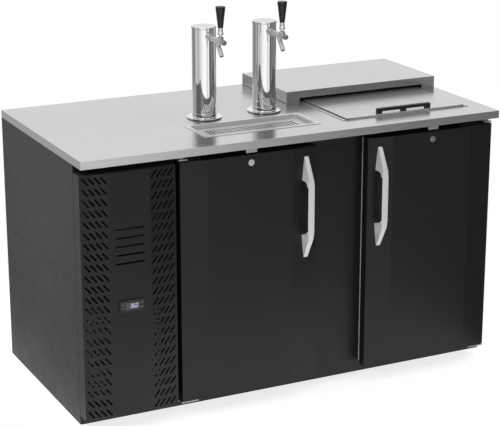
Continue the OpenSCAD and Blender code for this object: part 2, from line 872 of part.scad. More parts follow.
module faucet_bodies() {
    spout_top = [0, lever_y + spout_back, faucet_z - spout_start];
    spout_end = [0, lever_y - spout_lead, faucet_z - spout_drop];
    spout_dir = (spout_end - spout_top) / norm(spout_end - spout_top);
    color(chrome) seat() at_towers() difference() {
        union() {
            faucet_turning();
            post(0, lever_y, faucet_z - cup_r, cup_top, cup_r);
            pipe([spout_top, spout_end], spout_r);
        }
        translate([0, lever_y, pivot_z]) sphere(r = ball_r + 1);
        post(0, lever_y, pivot_z, cup_top + over, ball_r + 1);
        rod_x(lever_y, pivot_z, -cup_r - over, cup_r + over, lever_pin_r + fit);
        pipe([spout_end - spout_bore_len * spout_dir, spout_end + spout_dir], spout_bore_r);
    }
}

module faucet_bonnets() {
    color(chrome) seat() at_towers() difference() {
        post(0, lever_y, cup_top + seat_gap, cup_top + bonnet_t, cup_r + bonnet_lip);
        post(0, lever_y, cup_top - over, cup_top + bonnet_t + over, bonnet_hole_r);
    }
}

// Lever with its ball, cross pin, ferrule and the stud that carries the tap handle
module tap_lever(x) {
    color(chrome) seat() translate([x, lever_y, pivot_z]) {
        sphere(r = ball_r);
        rotate([0, 90, 0]) cylinder(h = 2 * cup_r - 2, r = lever_pin_r, center = true);
        cylinder(h = ferrule_z1 - pivot_z, r = stud_r);
        translate([0, 0, ferrule_z0 - pivot_z]) cylinder(h = 8, r = 7);
        translate([0, 0, ferrule_z0 - pivot_z]) cylinder(h = ferrule_z1 - ferrule_z0, r = 6);
        cylinder(h = ferrule_z1 - pivot_z + 20, r = stud_r);
    }
}

module tap_handle(x) {
    foot_r = 8.5;
    head_r = 16;
    crown = 2.5;
    color(dark_plastic) seat() translate([x, lever_y, ferrule_z1 + seat_gap]) difference() {
        rotate_extrude() {
            polygon([[0, 0], [foot_r - 1, 0], [foot_r, 1], [head_r, tap_handle_h - crown],
                [0, tap_handle_h - crown]]);
            translate([0, tap_handle_h - crown]) square([head_r - crown, crown]);
            intersection() {
                translate([head_r - crown, tap_handle_h - crown]) circle(r = crown);
                translate([0, tap_handle_h - crown]) square([head_r, crown]);
            }
        }
        translate([0, 0, -over]) cylinder(h = 21 + over, r = stud_r + fit);
    }
}

module left_tap_lever() {
    tap_lever(tower_x[0]);
}

module right_tap_lever() {
    tap_lever(tower_x[1]);
}

module left_tap_handle() {
    tap_handle(tower_x[0]);
}

module right_tap_handle() {
    tap_handle(tower_x[1]);
}

// Club lid
module club_hood() {
    clear = 2.5;
    color(steel) seat() difference() {
        block([hood_x0, hood_y0, counter_h + seat_gap], [hood_x1, hood_y1, counter_h + hood_h]);
        block([hood_x0 + sheet_t, hood_y0 + sheet_t, counter_h - over],
            [hood_x1 - sheet_t, hood_y1 - sheet_t, counter_h + hood_h - sheet_t]);
        block([rail_x0 - clear, hood_y0 - over, counter_h - over],
            [rail_x1 + clear, hood_y0 + sheet_t + over, counter_h + lid_slot_h]);
    }
}

// Tracks under the lid's sides, rails beside it and a stop ahead of it
module lid_tracks() {
    z0 = counter_h + seat_gap;
    rail_top = counter_h + lid_rail_h;
    stop_y1 = stop_y0 + lid_stop_t;
    color(steel) seat() {
        for (x = [lid_x0 + track_inset, lid_x1 - track_inset - track_w])
            block([x, lid_front + 8, z0],
                [x + track_w, hood_y1 - sheet_t - seat_gap, lid_top - sheet_t - gap]);
        for (x = [rail_x0, rail_x1 - lid_rail_w])
            block([x, stop_y1 + seat_gap, z0], [x + lid_rail_w, hood_y0 + 30, rail_top]);
        block([rail_x0, stop_y0, z0], [rail_x1, stop_y1, rail_top]);
    }
}

module sliding_lid() {
    hem = track_inset + track_w + 2;
    y1 = lid_front + lid_len;
    color(steel) seat() {
        block([lid_x0, lid_front, lid_top - sheet_t], [lid_x1, y1, lid_top]);
        for (x = [lid_x0, lid_x1 - sheet_t])
            block([x, lid_front, counter_h + gap], [x + sheet_t, y1, lid_top]);
        block([lid_x0 + hem, lid_front, counter_h + gap], [lid_x1 - hem, lid_front + sheet_t, lid_top]);
    }
}

module lid_handle() {
    leg = 17;
    window_w = (lid_grip_w - 3 * leg) / 2;
    y0 = lid_front + 11.5;
    color(dark_plastic) seat() translate([hood_mid, y0, lid_top + seat_gap]) difference() {
        translate([0, lid_grip_t, 0]) rotate([90, 0, 0]) linear_extrude(lid_grip_t) intersection() {
            round_rect(lid_grip_w, 2 * lid_grip_h, 3);
            translate([-lid_grip_w / 2, 0]) square([lid_grip_w, lid_grip_h]);
        }
        for (x = [-1, 1]) translate([x * (window_w + leg) / 2 - window_w / 2, -over, -over])
            cube([window_w, lid_grip_t + 2 * over, lid_finger_h + over]);
    }
}

// Doors, drawn as the left one
top_bracket_w = 88;
top_plate_w = 28;
pin_head = 4;
bottom_bracket_w = 57;
bracket_t = 4;
bracket_gap = 3;
bracket_y0 = door_edge_y + 2;

// Bracket screwed to the face of the cabinet, its plate reaching out over or under the door
module hinge_bracket(z0, plate_w, width, flange_z0, flange_z1) {
    block([left_x0 - 2, bracket_y0, z0], [left_x0 + plate_w, face_y - seat_gap, z0 + bracket_t]);
    block([left_x0 - 2, face_y - bracket_t, flange_z0], [left_x0 + width, face_y - seat_gap, flange_z1]);
}

module door_hinges() {
    top_z = door_top + bracket_gap;
    low_z = door_bottom - bracket_gap - bracket_t;
    color(zinc) seat() on_both_doors() {
        hinge_bracket(top_z, top_plate_w, top_bracket_w, top_z, counter_under - 2);
        post(pivot_x, pivot_y, door_top - pin_depth, top_z + bracket_t, hinge_pin_r);
        post(pivot_x, pivot_y, top_z + bracket_t - over, top_z + bracket_t + pin_head, hinge_pin_r + 2);
        hinge_bracket(low_z, bottom_bracket_w, bottom_bracket_w, low_z - 11, low_z + bracket_t);
        post(pivot_x, pivot_y, low_z, door_bottom + pin_depth, hinge_pin_r);
        post(pivot_x, pivot_y, low_z, door_bottom - gap, hinge_pin_r + 3);
    }
}

// Space in which the lock's cam turns from level to upright
module cam_space(z1) {
    block([left_mid - plug_r - 2, cam_y - 0.7, lock_z - plug_r - 2],
        [left_mid + cam_len + 2, cam_y + cam_t + 0.7, z1]);
}

module door_skin() {
    color(black_paint) seat() difference() {
        translate([0, 0, door_bottom]) linear_extrude(door_top - door_bottom)
            bowed_plan(left_x0, left_x1, door_back_y);
        translate([0, 0, door_bottom + sheet_t]) linear_extrude(door_top - door_bottom - 2 * sheet_t)
            bowed_plan(left_x0, left_x1, door_back_y + over, sheet_t, sheet_t);
        post(pivot_x, pivot_y, door_bottom - over, door_top + over, hinge_pin_r + 1);
        rod_y(left_mid, lock_z, door_front_y - over, door_front_y + sheet_t + over, lock_r + seat_gap);
        intersection() {
            cam_space(door_top + over);
            block([left_x0, 0, door_top - sheet_t - over], [left_x1, door_back_y, door_top + over]);
        }
    }
}

module door_core() {
    clear = sheet_t + seat_gap;
    plug_inset = hinge_side_inset + gasket_w + 8;
    color(foam) seat() difference() {
        union() {
            translate([0, 0, door_bottom + clear]) linear_extrude(door_top - door_bottom - 2 * clear)
                bowed_plan(left_x0, left_x1, door_back_y, clear, clear);
            block([left_x0 + plug_inset, door_back_y - over, door_bottom + plug_inset],
                [left_x1 - plug_inset, door_back_y + 8, door_top - plug_inset]);
        }
        post(pivot_x, pivot_y, door_top - pin_depth - 2, door_top, hinge_pin_r + fit);
        post(pivot_x, pivot_y, door_bottom, door_bottom + pin_depth + 2, hinge_pin_r + fit);
        rod_y(left_mid, lock_z, 0, lock_back_y + seat_gap, lock_r + seat_gap);
        cam_space(door_top);
    }
}

module door_gasket() {
    y0 = door_back_y + seat_gap;
    y1 = face_y - gap;
    x0 = left_x0 + hinge_side_inset;
    x1 = left_x1 - gasket_inset;
    z0 = door_bottom + gasket_inset;
    z1 = door_top - gasket_inset;
    color(vinyl) seat() difference() {
        block([x0, y0, z0], [x1, y1, z1]);
        block([x0 + gasket_w, y0 - over, z0 + gasket_w], [x1 - gasket_w, y1 + over, z1 - gasket_w]);
    }
}

// Door's surface behind a handle's middle, and how deep the legs start inside it
handle_base_y = door_edge_y - door_bow * handle_edge / bow_band;
leg_sink = 4;
tip_t = 3;
grip_end = finger_h / 2 - finger_round;

// Plan of the grip, wide in front and narrow behind
module grip_plan() {
    front = -handle_reach;
    polygon([[-handle_w / 2, front], [handle_w / 2, front], [grip_back_w / 2, front + grip_t],
        [-grip_back_w / 2, front + grip_t]]);
}

// Corners of a leg, in pairs left and right: tip, foot beside the finger opening, bend and end of the grip
function leg_corners(s) = [for (x = [-0.5, 0.5]) each [
    [x * handle_tip_w, handle_base_y + leg_sink, s * handle_len / 2],
    [x * handle_tip_w, handle_base_y - tip_t, s * handle_len / 2],
    [x * handle_leg_w, handle_base_y + leg_sink, s * finger_h / 2],
    [x * handle_bend_w, -handle_reach, s * grip_len / 2],
    [x * handle_w, -handle_reach, s * grip_end],
    [x * grip_back_w, grip_t - handle_reach, s * grip_end]]];

module handle_leg(s) {
    corners = leg_corners(s);
    hull() polyhedron(corners, [[for (i = [0 : len(corners) - 1]) i]]);
}

// Side view of the finger opening: square on the door, round towards the grip
module finger_opening() {
    front = grip_t - handle_reach;
    r = finger_round;
    translate([front + r, -finger_h / 2]) square([handle_reach + door_back_y, finger_h]);
    translate([front, -finger_h / 2 + r]) square([2 * r, finger_h - 2 * r]);
    for (z = [-1, 1]) translate([front + r, z * grip_end]) circle(r = r);
}

module door_handle() {
    color(satin) seat() difference() {
        translate([left_x1 - handle_edge, 0, door_top - handle_drop]) {
            difference() {
                for (s = [-1, 1]) handle_leg(s);
                translate([-handle_leg_w, 0, 0]) rotate([90, 0, 90]) linear_extrude(2 * handle_leg_w)
                    finger_opening();
            }
            translate([0, 0, -grip_end]) linear_extrude(2 * grip_end) grip_plan();
        }
        translate([0, 0, door_bottom]) linear_extrude(door_top - door_bottom)
            bowed_plan(left_x0, left_x1, door_back_y, 0, -seat_gap);
    }
}

lock_back_y = door_front_y + 26;
lock_proud = 3;

module lock_barrel() {
    color(chrome) seat() difference() {
        rod_y(left_mid, lock_z, door_front_y - lock_proud, lock_back_y, lock_r);
        rod_y(left_mid, lock_z, door_front_y - lock_proud - over, lock_back_y + over, plug_r + fit);
        block([left_mid - plug_r - 1, cam_y - 0.7, lock_z - plug_r - 1],
            [left_mid + lock_r + over, cam_y + cam_t + 0.7, lock_z + lock_r + over]);
    }
}

module lock_plug() {
    front = door_front_y - lock_proud - 0.5;
    color(chrome) seat() difference() {
        union() {
            rod_y(left_mid, lock_z, front, lock_back_y, plug_r);
            block([left_mid, cam_y, lock_z - 4], [left_mid + cam_len, cam_y + cam_t, lock_z + 4]);
        }
        block([left_mid - 3.5, front - over, lock_z - 0.8], [left_mid + 3.5, front + 3, lock_z + 0.8]);
    }
}

module left_door_skin() {
    door_skin();
}

module left_door_core() {
    door_core();
}

module left_door_gasket() {
    door_gasket();
}

module left_door_handle() {
    door_handle();
}

module left_lock_barrel() {
    lock_barrel();
}

module left_lock_plug() {
    lock_plug();
}

// The doors are mirror images about the plane between them, which seat() moves with the cooler
module as_right_door() {
    translate([2 * doors_mid - counter_w, 0, 0]) mirror([1, 0, 0]) children();
}

module right_door_skin() {
    as_right_door() door_skin();
}

module right_door_core() {
    as_right_door() door_core();
}

module right_door_gasket() {
    as_right_door() door_gasket();
}

module right_door_handle() {
    as_right_door() door_handle();
}

module right_lock_barrel() {
    as_right_door() lock_barrel();
}

module right_lock_plug() {
    as_right_door() lock_plug();
}

// Refrigeration
module compressor() {
    shoulder = 40;
    stand = compressor_stand;
    color(dark_plastic) seat() translate([compressor_at[0], compressor_at[1], sill_h]) {
        translate([0, 0, stand]) rotate_extrude($fn = 64) {
            translate([0, shoulder]) square([compressor_r, compressor_h - 2 * shoulder]);
            for (z = [shoulder, compressor_h - shoulder]) intersection() {
                translate([compressor_r - shoulder, z]) circle(r = shoulder);
                square([compressor_r, compressor_h]);
            }
            square([compressor_r - shoulder, compressor_h]);
        }
        translate([-compressor_r, -compressor_r * 0.7, stand - 4])
            cube([2 * compressor_r, compressor_r * 1.4, 5]);
        for (x = [-1, 1], y = [-1, 1])
            translate([x * compressor_r * 0.85, y * compressor_r * 0.55, 0]) cylinder(h = stand, r = 9);
    }
}

// Finned coil from one corner to the opposite one, with its tubes along x
module coil(a, b, fins, tubes) {
    size = b - a;
    tube_r = 4;
    for (i = [0 : fins - 1]) {
        x = a[0] + i * (size[0] - 1.5) / (fins - 1);
        block([x, a[1], a[2]], [x + 1.5, b[1], b[2]]);
    }
    for (i = [0 : tubes - 1], y = [0.3, 0.7])
        rod_x(a[1] + y * size[1], a[2] + (i + 0.5) * size[2] / tubes, a[0], b[0], tube_r);
}

module condenser_coil() {
    x0 = (grille_w - condenser_w) / 2;
    x1 = x0 + condenser_w;
    back = condenser_y + condenser_t;
    arm = 4;
    bar_y = motor_y + motor_len;
    color(satin) seat() {
        coil([x0, condenser_y, sill_h], [x1, back, sill_h + condenser_h], 22, 7);
        difference() {
            block([x0, back - over, sill_h], [x1, back + 2, sill_h + condenser_h]);
            rod_y(fan_mid[0], fan_mid[1], back - 2 * over, back + 2 + over, fan_r + 6);
        }
        for (x = [x0, x1 - arm]) block([x, back, fan_mid[1] - 12], [x + arm, bar_y + arm, fan_mid[1] + 12]);
        difference() {
            block([x0, bar_y + seat_gap, fan_mid[1] - 12], [x1, bar_y + arm, fan_mid[1] + 12]);
            rod_y(fan_mid[0], fan_mid[1], bar_y - over, bar_y + arm + over, 6);
        }
    }
}

// Motor lying along +z with its shaft, and the fan that runs on it
module fan_motor() {
    cylinder(h = motor_len, r = motor_r);
    translate([0, 0, motor_len - over]) cylinder(h = shaft_len + over, r = shaft_r);
}

module fan(r) {
    blades = 5;
    hub_r = 20;
    difference() {
        union() {
            cylinder(h = fan_hub_len, r = hub_r);
            for (i = [0 : blades - 1]) rotate(i * 360 / blades) translate([hub_r - 3, 0, fan_hub_len / 2])
                rotate([30, 0, 0]) translate([0, -r * 0.25, -1]) cube([r - hub_r + 3 - r * 0.04, r * 0.5, 2]);
        }
        translate([0, 0, -over]) cylinder(h = fan_hub_len + 2 * over, r = shaft_r + fit);
    }
}

// Places of the two fan axes: the condenser's looks forward, the evaporator's looks right
module at_condenser_fan() {
    translate([fan_mid[0], motor_y + motor_len, fan_mid[1]]) rotate([90, 0, 0]) children();
}

module at_evaporator_fan() {
    translate([evap_motor_x, evap_fan_mid[0], evap_fan_mid[1]]) rotate([0, 90, 0]) children();
}

module fan_motors() {
    color(dark_plastic) seat() {
        at_condenser_fan() fan_motor();
        at_evaporator_fan() fan_motor();
    }
}

module condenser_fan() {
    color(dark_plastic) seat() at_condenser_fan() translate([0, 0, motor_len + fan_gap]) fan(fan_r);
}

module evaporator_fan() {
    color(dark_plastic) seat() at_evaporator_fan() translate([0, 0, motor_len + fan_gap]) fan(evap_fan_r);
}

module evaporator_housing() {
    x1 = evap_x0 + evap_w;
    y0 = evap_y1 - evap_d;
    z0 = evap_z1 - evap_h;
    wall = 2;
    color(satin) seat() {
        difference() {
            block([evap_x0, y0, z0], [x1, evap_y1, evap_z1]);
            block([evap_x0 + wall, y0 + wall, z0 - over], [x1 - wall, evap_y1 - wall, evap_z1 - wall]);
            rod_x(evap_fan_mid[0], evap_fan_mid[1], x1 - wall - over, x1 + over, evap_fan_r + 5);
            rod_x(suction_at[0], suction_at[1], evap_x0 - over, evap_x0 + wall + over, pipe_r + 1);
        }
        difference() {
            block([evap_motor_x - 3 - seat_gap, y0 + over, evap_fan_mid[1] - 12],
                [evap_motor_x - seat_gap, evap_y1 - over, evap_fan_mid[1] + 12]);
            rod_x(evap_fan_mid[0], evap_fan_mid[1], evap_x0, evap_motor_x + over, 6);
        }
    }
}

module evaporator_coil() {
    y0 = evap_y1 - evap_d;
    color(satin) seat() translate([evap_x0 + 4, y0 + 3, 0]) mirror([1, -1, 0])
        coil([0, 0, evap_z1 - evap_h + 20], [evap_d - 6, evap_coil_t, evap_z1 - 2.5], 26, 5);
}

module control_box() {
    w = 80;
    d = 140;
    h = 160;
    x1 = shell_x0 - seat_gap;
    y1 = counter_d - rear_recess - 40;
    z0 = side_seam_h + 40;
    color(side_paint) seat() {
        block([x1 - w, y1 - d, z0], [x1, y1, z0 + h]);
        block([x1 - w - 3, y1 - d - 3, z0 - 3], [x1 - w + over, y1 + 3, z0 + h + 3]);
    }
}

// Suction line from the evaporator to the compressor, and hot gas line on to the condenser
module refrigerant_tubes() {
    top = sill_h + compressor_stand + compressor_h;
    can = [compressor_at[0], compressor_at[1], top];
    back = condenser_y + condenser_t + 2;
    x_side = (grille_w - condenser_w) / 2 + 12;
    line_z = sill_h + condenser_h - 20;
    color(copper) seat() {
        pipe([can + [20, 0, seat_gap], [can[0] + 20, can[1], suction_at[1]],
            [can[0] + 20, suction_at[0], suction_at[1]],
            [evap_x0 + 3, suction_at[0], suction_at[1]]], pipe_r);
        pipe([can + [-20, 0, seat_gap], can + [-20, 0, 90], [x_side, can[1], top + 90],
            [x_side, can[1], line_z], [x_side, back + seat_gap, line_z]], pipe_r);
    }
}

base_frame();
levelling_feet();
cabinet_shell();
cabinet_foam();
cabinet_liner();
face_frame();
centre_mullion();
upper_side_panel();
lower_side_panel();
panel_screws();
rear_vent_panel();
cord_gland();
grille_frame();
vent_grille();
controller_housing();
controller_lens();
key_top_left();
key_bottom_left();
key_top_right();
key_bottom_right();
countertop();
lock_strikes();
drip_tray();
drip_grid();
tower_flanges();
tower_columns();
tower_caps();
faucet_shanks();
faucet_bodies();
faucet_bonnets();
left_tap_lever();
right_tap_lever();
left_tap_handle();
right_tap_handle();
club_hood();
lid_tracks();
sliding_lid();
lid_handle();
door_hinges();
left_door_skin();
left_door_core();
left_door_gasket();
left_door_handle();
left_lock_barrel();
left_lock_plug();
right_door_skin();
right_door_core();
right_door_gasket();
right_door_handle();
right_lock_barrel();
right_lock_plug();
compressor();
condenser_coil();
fan_motors();
condenser_fan();
evaporator_housing();
evaporator_coil();
evaporator_fan();
control_box();
refrigerant_tubes();
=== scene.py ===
"""Looks of a two-door draft beer cooler.

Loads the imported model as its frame, rounds and finishes every piece, adds the fine detail
and sets up the camera, the floor and the studio light.
"""

import json
import math
from itertools import product

import bmesh
import bpy
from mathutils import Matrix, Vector

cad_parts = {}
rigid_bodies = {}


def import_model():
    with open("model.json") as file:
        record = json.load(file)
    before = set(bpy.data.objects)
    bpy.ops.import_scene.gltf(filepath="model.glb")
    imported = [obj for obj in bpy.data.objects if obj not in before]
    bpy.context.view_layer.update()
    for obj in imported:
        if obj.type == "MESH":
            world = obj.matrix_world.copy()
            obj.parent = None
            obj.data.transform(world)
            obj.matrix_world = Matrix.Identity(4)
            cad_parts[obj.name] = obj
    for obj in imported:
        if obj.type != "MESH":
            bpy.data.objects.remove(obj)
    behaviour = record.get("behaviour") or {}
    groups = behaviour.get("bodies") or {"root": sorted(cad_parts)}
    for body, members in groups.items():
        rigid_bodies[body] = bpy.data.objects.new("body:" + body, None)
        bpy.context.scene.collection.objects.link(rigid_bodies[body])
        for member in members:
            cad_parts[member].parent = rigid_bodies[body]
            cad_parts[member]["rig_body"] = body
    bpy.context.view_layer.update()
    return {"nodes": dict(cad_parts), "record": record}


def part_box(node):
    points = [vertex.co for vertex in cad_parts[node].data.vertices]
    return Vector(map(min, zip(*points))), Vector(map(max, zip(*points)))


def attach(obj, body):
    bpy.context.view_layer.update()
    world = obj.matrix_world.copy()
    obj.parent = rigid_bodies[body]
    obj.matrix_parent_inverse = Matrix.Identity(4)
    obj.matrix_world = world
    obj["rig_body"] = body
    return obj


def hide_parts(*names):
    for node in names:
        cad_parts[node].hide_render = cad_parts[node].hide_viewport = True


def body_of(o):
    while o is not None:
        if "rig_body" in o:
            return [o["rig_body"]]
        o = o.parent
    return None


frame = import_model()
nodes = frame["nodes"]
scene = bpy.context.scene
slot_of = {part["node"]: part["material_slot"] for part in frame["record"]["subparts"]}
MM = 0.001


def link(piece):
    scene.collection.objects.link(piece)
    return piece


def box(node):
    """Low and high corner of a solid."""
    return tuple(map(Vector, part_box(node)))


# Camera, floor and light

# Place in metres, angles in degrees, and focal length and shift in pixels of an image of that width
CAMERA_AT = (-2.3759, -4.7932, 2.1786)
CAMERA_YAW = 26.35
CAMERA_PITCH = 16.921
IMAGE_W = 500
FOCAL_PX = 1633.5
SHIFT_PX = (-1.23, -1.62)
SENSOR_MM = 36.0


def make_camera():
    data = bpy.data.cameras.new("camera")
    data.sensor_width = SENSOR_MM
    data.lens = FOCAL_PX / IMAGE_W * SENSOR_MM
    data.shift_x = SHIFT_PX[0] / IMAGE_W
    data.shift_y = SHIFT_PX[1] / IMAGE_W
    camera = link(bpy.data.objects.new("camera", data))
    camera.location = CAMERA_AT
    camera.rotation_euler = (math.radians(90 - CAMERA_PITCH), 0, math.radians(-CAMERA_YAW))
    bpy.context.scene.camera = camera


def math_node(tree, operation, *values):
    """Math node whose inputs are sockets to link or plain numbers."""
    node = tree.nodes.new("ShaderNodeMath")
    node.operation = operation
    for socket, value in zip(node.inputs, values):
        if isinstance(value, (int, float)):
            socket.default_value = value
        else:
            tree.links.new(value, socket)
    return node.outputs["Value"]


def mix_node(tree, share, first, second):
    """Colour that passes from the first to the second, which is a socket or a plain grey level."""
    node = tree.nodes.new("ShaderNodeMix")
    node.data_type = "RGBA"
    tree.links.new(share, node.inputs["Factor"])
    tree.links.new(first, node.inputs["A"])
    if isinstance(second, float):
        node.inputs["B"].default_value = (second, second, second, 1)
    else:
        tree.links.new(second, node.inputs["B"])
    return node.outputs["Result"]


def level_ramp(tree, source, stops):
    """Grey level that follows (position, level) stops along a source from 0 to 1."""
    ramp = tree.nodes.new("ShaderNodeValToRGB")
    elements = ramp.color_ramp.elements
    while len(elements) < len(stops):
        elements.new(1.0)
    for element, (position, level) in zip(elements, stops):
        element.position = position
        element.color = (level, level, level, 1)
    tree.links.new(source, ramp.inputs["Fac"])
    return ramp.outputs["Color"]


# Brightness of the room round the cooler below the horizon and just above it, by compass angle
# in degrees from the front towards the right
ROOM_BELOW = [
    (-180, 0.5), (-168, 0.4), (-153, 0.27), (-141, 0.2), (-130, 0.22), (-119, 0.36), (-108, 0.58),
    (-94, 0.62), (-84, 0.44), (-74, 0.54), (-53, 0.8), (-43, 0.93), (-30, 1.05), (-6, 1.05),
    (4, 0.8), (12, 0.62), (17, 1.0), (19, 1.25), (23, 0.82), (25, 0.57), (27, 0.37), (29, 0.22),
    (33, 0.11), (42, 0.09), (46, 0.27), (58, 0.18), (84, 0.22), (104, 0.24), (150, 0.13),
    (165, 0.4), (180, 0.4),
]
ROOM_ABOVE = [
    (-180, 0.9), (-155, 0.52), (-135, 0.46), (-112, 0.4), (-102, 0.05), (95, 0.05), (118, 0.5),
    (132, 0.9), (180, 0.9),
]
CEILING = 1.36
# Heights from 0 straight down to 1 straight up between which one zone of the room passes into the next
HORIZON = (0.49, 0.53)
CEILING_EDGE = (0.72, 0.84)


def make_world():
    """White backdrop for the camera, and a room of several brightnesses for light and mirror images."""
    world = bpy.data.worlds.new("studio")
    scene.world = world
    world.use_nodes = True
    tree = world.node_tree
    coords = tree.nodes.new("ShaderNodeTexCoord")
    split = tree.nodes.new("ShaderNodeSeparateXYZ")
    tree.links.new(coords.outputs["Generated"], split.inputs["Vector"])
    x, y, z = split.outputs
    angle = math_node(tree, "ARCTAN2", x, math_node(tree, "MULTIPLY", y, -1))
    compass = math_node(tree, "MULTIPLY_ADD", angle, 1 / (2 * math.pi), 0.5)
    height = math_node(tree, "MULTIPLY_ADD", z, 0.5, 0.5)

    def by_compass(levels):
        return level_ramp(tree, compass, [(degrees / 360 + 0.5, level) for degrees, level in levels])

    def past(zone):
        return level_ramp(tree, height, [(zone[0], 0), (zone[1], 1)])

    walls = mix_node(tree, past(HORIZON), by_compass(ROOM_BELOW), by_compass(ROOM_ABOVE))
    room = mix_node(tree, past(CEILING_EDGE), walls, CEILING)

    light = tree.nodes["Background"]
    tree.links.new(room, light.inputs["Color"])
    backdrop = tree.nodes.new("ShaderNodeBackground")
    backdrop.inputs["Color"].default_value = (1, 1, 1, 1)
    path = tree.nodes.new("ShaderNodeLightPath")
    choose = tree.nodes.new("ShaderNodeMixShader")
    tree.links.new(path.outputs["Is Camera Ray"], choose.inputs["Fac"])
    tree.links.new(light.outputs["Background"], choose.inputs[1])
    tree.links.new(backdrop.outputs["Background"], choose.inputs[2])
    tree.links.new(choose.outputs["Shader"], tree.nodes["World Output"].inputs["Surface"])


FLOOR_X = (-0.88, 0.82)
FLOOR_Y = (-1.0, 1.2)


def make_floor(mat):
    """Plain pale floor, a little larger than the cooler all round."""
    left, right = FLOOR_X
    front, back = FLOOR_Y
    bm = bmesh.new()
    corners = ((left, front, 0), (right, front, 0), (right, back, 0), (left, back, 0))
    bm.faces.new([bm.verts.new(corner) for corner in corners])
    mesh = bpy.data.meshes.new("floor")
    bm.to_mesh(mesh)
    bm.free()
    mesh.materials.append(mat)
    link(bpy.data.objects.new("floor", mesh))


# Place, point aimed at and size of each lamp in metres, and its power
KEY_LIGHT = {"place": (-2.6, -2.6, 3.4), "target": (0, 0, 0.5), "size": (1.6, 1.6), "watts": 30}
SIDE_LIGHT = {"place": (-1.95, 0, 0.86), "target": (-0.75, 0, 0.86), "size": (0.8, 0.2), "watts": 30}


def make_lamp(name, place, target, size, watts):
    data = bpy.data.lights.new(name, "AREA")
    data.shape = "RECTANGLE"
    data.size, data.size_y = size
    data.energy = watts
    lamp = link(bpy.data.objects.new(name, data))
    lamp.location = place
    lamp.rotation_euler = (Vector(target) - Vector(place)).to_track_quat("-Z", "Y").to_euler()
    return lamp


# Finishes

# Middle part of the range of a noise, over which a finish varies
NOISE_LOW, NOISE_HIGH = 0.3, 0.7


def sockets(mat):
    """Inputs of the shader of a material."""
    return mat.node_tree.nodes["Principled BSDF"].inputs


def finish(name, colour, metallic, roughness, **others):
    """Principled material; values that are the same all over sit on the shader's own sockets."""
    mat = bpy.data.materials.new(name)
    mat.use_nodes = True
    sockets(mat)["Base Color"].default_value = (*colour, 1)
    sockets(mat)["Metallic"].default_value = metallic
    sockets(mat)["Roughness"].default_value = roughness
    for key, value in others.items():
        sockets(mat)[key.replace("_", " ")].default_value = value
    return mat


def even(per_metre):
    """The same number of grains per metre along x, y and z."""
    return (per_metre, per_metre, per_metre)


def grain(mat, per_metre, detail):
    """Noise with its own number of grains per metre along x, y and z."""
    tree = mat.node_tree
    coords = tree.nodes.new("ShaderNodeTexCoord")
    mapping = tree.nodes.new("ShaderNodeMapping")
    mapping.inputs["Scale"].default_value = per_metre
    noise = tree.nodes.new("ShaderNodeTexNoise")
    noise.inputs["Scale"].default_value = 1.0
    noise.inputs["Detail"].default_value = detail
    tree.links.new(coords.outputs["Object"], mapping.inputs["Vector"])
    tree.links.new(mapping.outputs["Vector"], noise.inputs["Vector"])
    return noise.outputs["Fac"]


def vary_colour(mat, source, dark, light):
    tree = mat.node_tree
    ramp = tree.nodes.new("ShaderNodeValToRGB")
    first, last = ramp.color_ramp.elements
    first.position, last.position = NOISE_LOW, NOISE_HIGH
    first.color, last.color = (*dark, 1), (*light, 1)
    tree.links.new(source, ramp.inputs["Fac"])
    tree.links.new(ramp.outputs["Color"], sockets(mat)["Base Color"])


def vary_roughness(mat, source, low, high):
    tree = mat.node_tree
    span = tree.nodes.new("ShaderNodeMapRange")
    span.inputs["From Min"].default_value = NOISE_LOW
    span.inputs["From Max"].default_value = NOISE_HIGH
    span.inputs["To Min"].default_value = low
    span.inputs["To Max"].default_value = high
    tree.links.new(source, span.inputs["Value"])
    tree.links.new(span.outputs["Result"], sockets(mat)["Roughness"])


def relief(mat, source, depth_mm, strength):
    """Bump of a depth in millimetres."""
    tree = mat.node_tree
    bump = tree.nodes.new("ShaderNodeBump")
    bump.inputs["Strength"].default_value = strength
    bump.inputs["Distance"].default_value = depth_mm * MM
    tree.links.new(source, bump.inputs["Height"])
    tree.links.new(bump.outputs["Normal"], sockets(mat)["Normal"])


def grey(level, tint=0.0):
    """Grey level, made bluer by a tint."""
    return (level * (1 - tint), level, level * (1 + tint))


def scaled(values, factor):
    return tuple(value * factor for value in values)


def painted(name, level, rough, peel_mm=0.04):
    """Powder coat or enamel: slight cloudiness, uneven gloss and a fine orange peel."""
    mat = finish(name, grey(level), 0.0, rough, Specular_IOR_Level=0.4)
    dark, light = grey(level * 0.96, tint=0.01), grey(level * 1.04, tint=0.01)
    vary_colour(mat, grain(mat, even(5), detail=4), dark, light)
    vary_roughness(mat, grain(mat, even(14), detail=3), rough * 0.92, rough * 1.1)
    relief(mat, grain(mat, even(620), detail=2), peel_mm, strength=0.25)
    return mat


def brushed(name, colour, low, high, per_metre, metallic=1.0):
    """Brushed metal: streaks in the gloss, a faint cloud in the colour and fine scratches."""
    mat = finish(name, colour, metallic, (low + high) / 2)
    vary_colour(mat, grain(mat, even(3), detail=4), scaled(colour, 0.96), scaled(colour, 1.03))
    vary_roughness(mat, grain(mat, per_metre, detail=3), low, high)
    relief(mat, grain(mat, scaled(per_metre, 2), detail=2), depth_mm=0.01, strength=0.12)
    return mat


def polished(name, colour, low, high):
    """Polished plating: faint wipe marks in the gloss and a barely wavy surface."""
    mat = finish(name, colour, 1.0, low)
    vary_roughness(mat, grain(mat, even(30), detail=5), low, high)
    vary_colour(mat, grain(mat, even(6), detail=3), scaled(colour, 0.98), colour)
    relief(mat, grain(mat, even(12), detail=1), depth_mm=0.05, strength=0.05)
    return mat


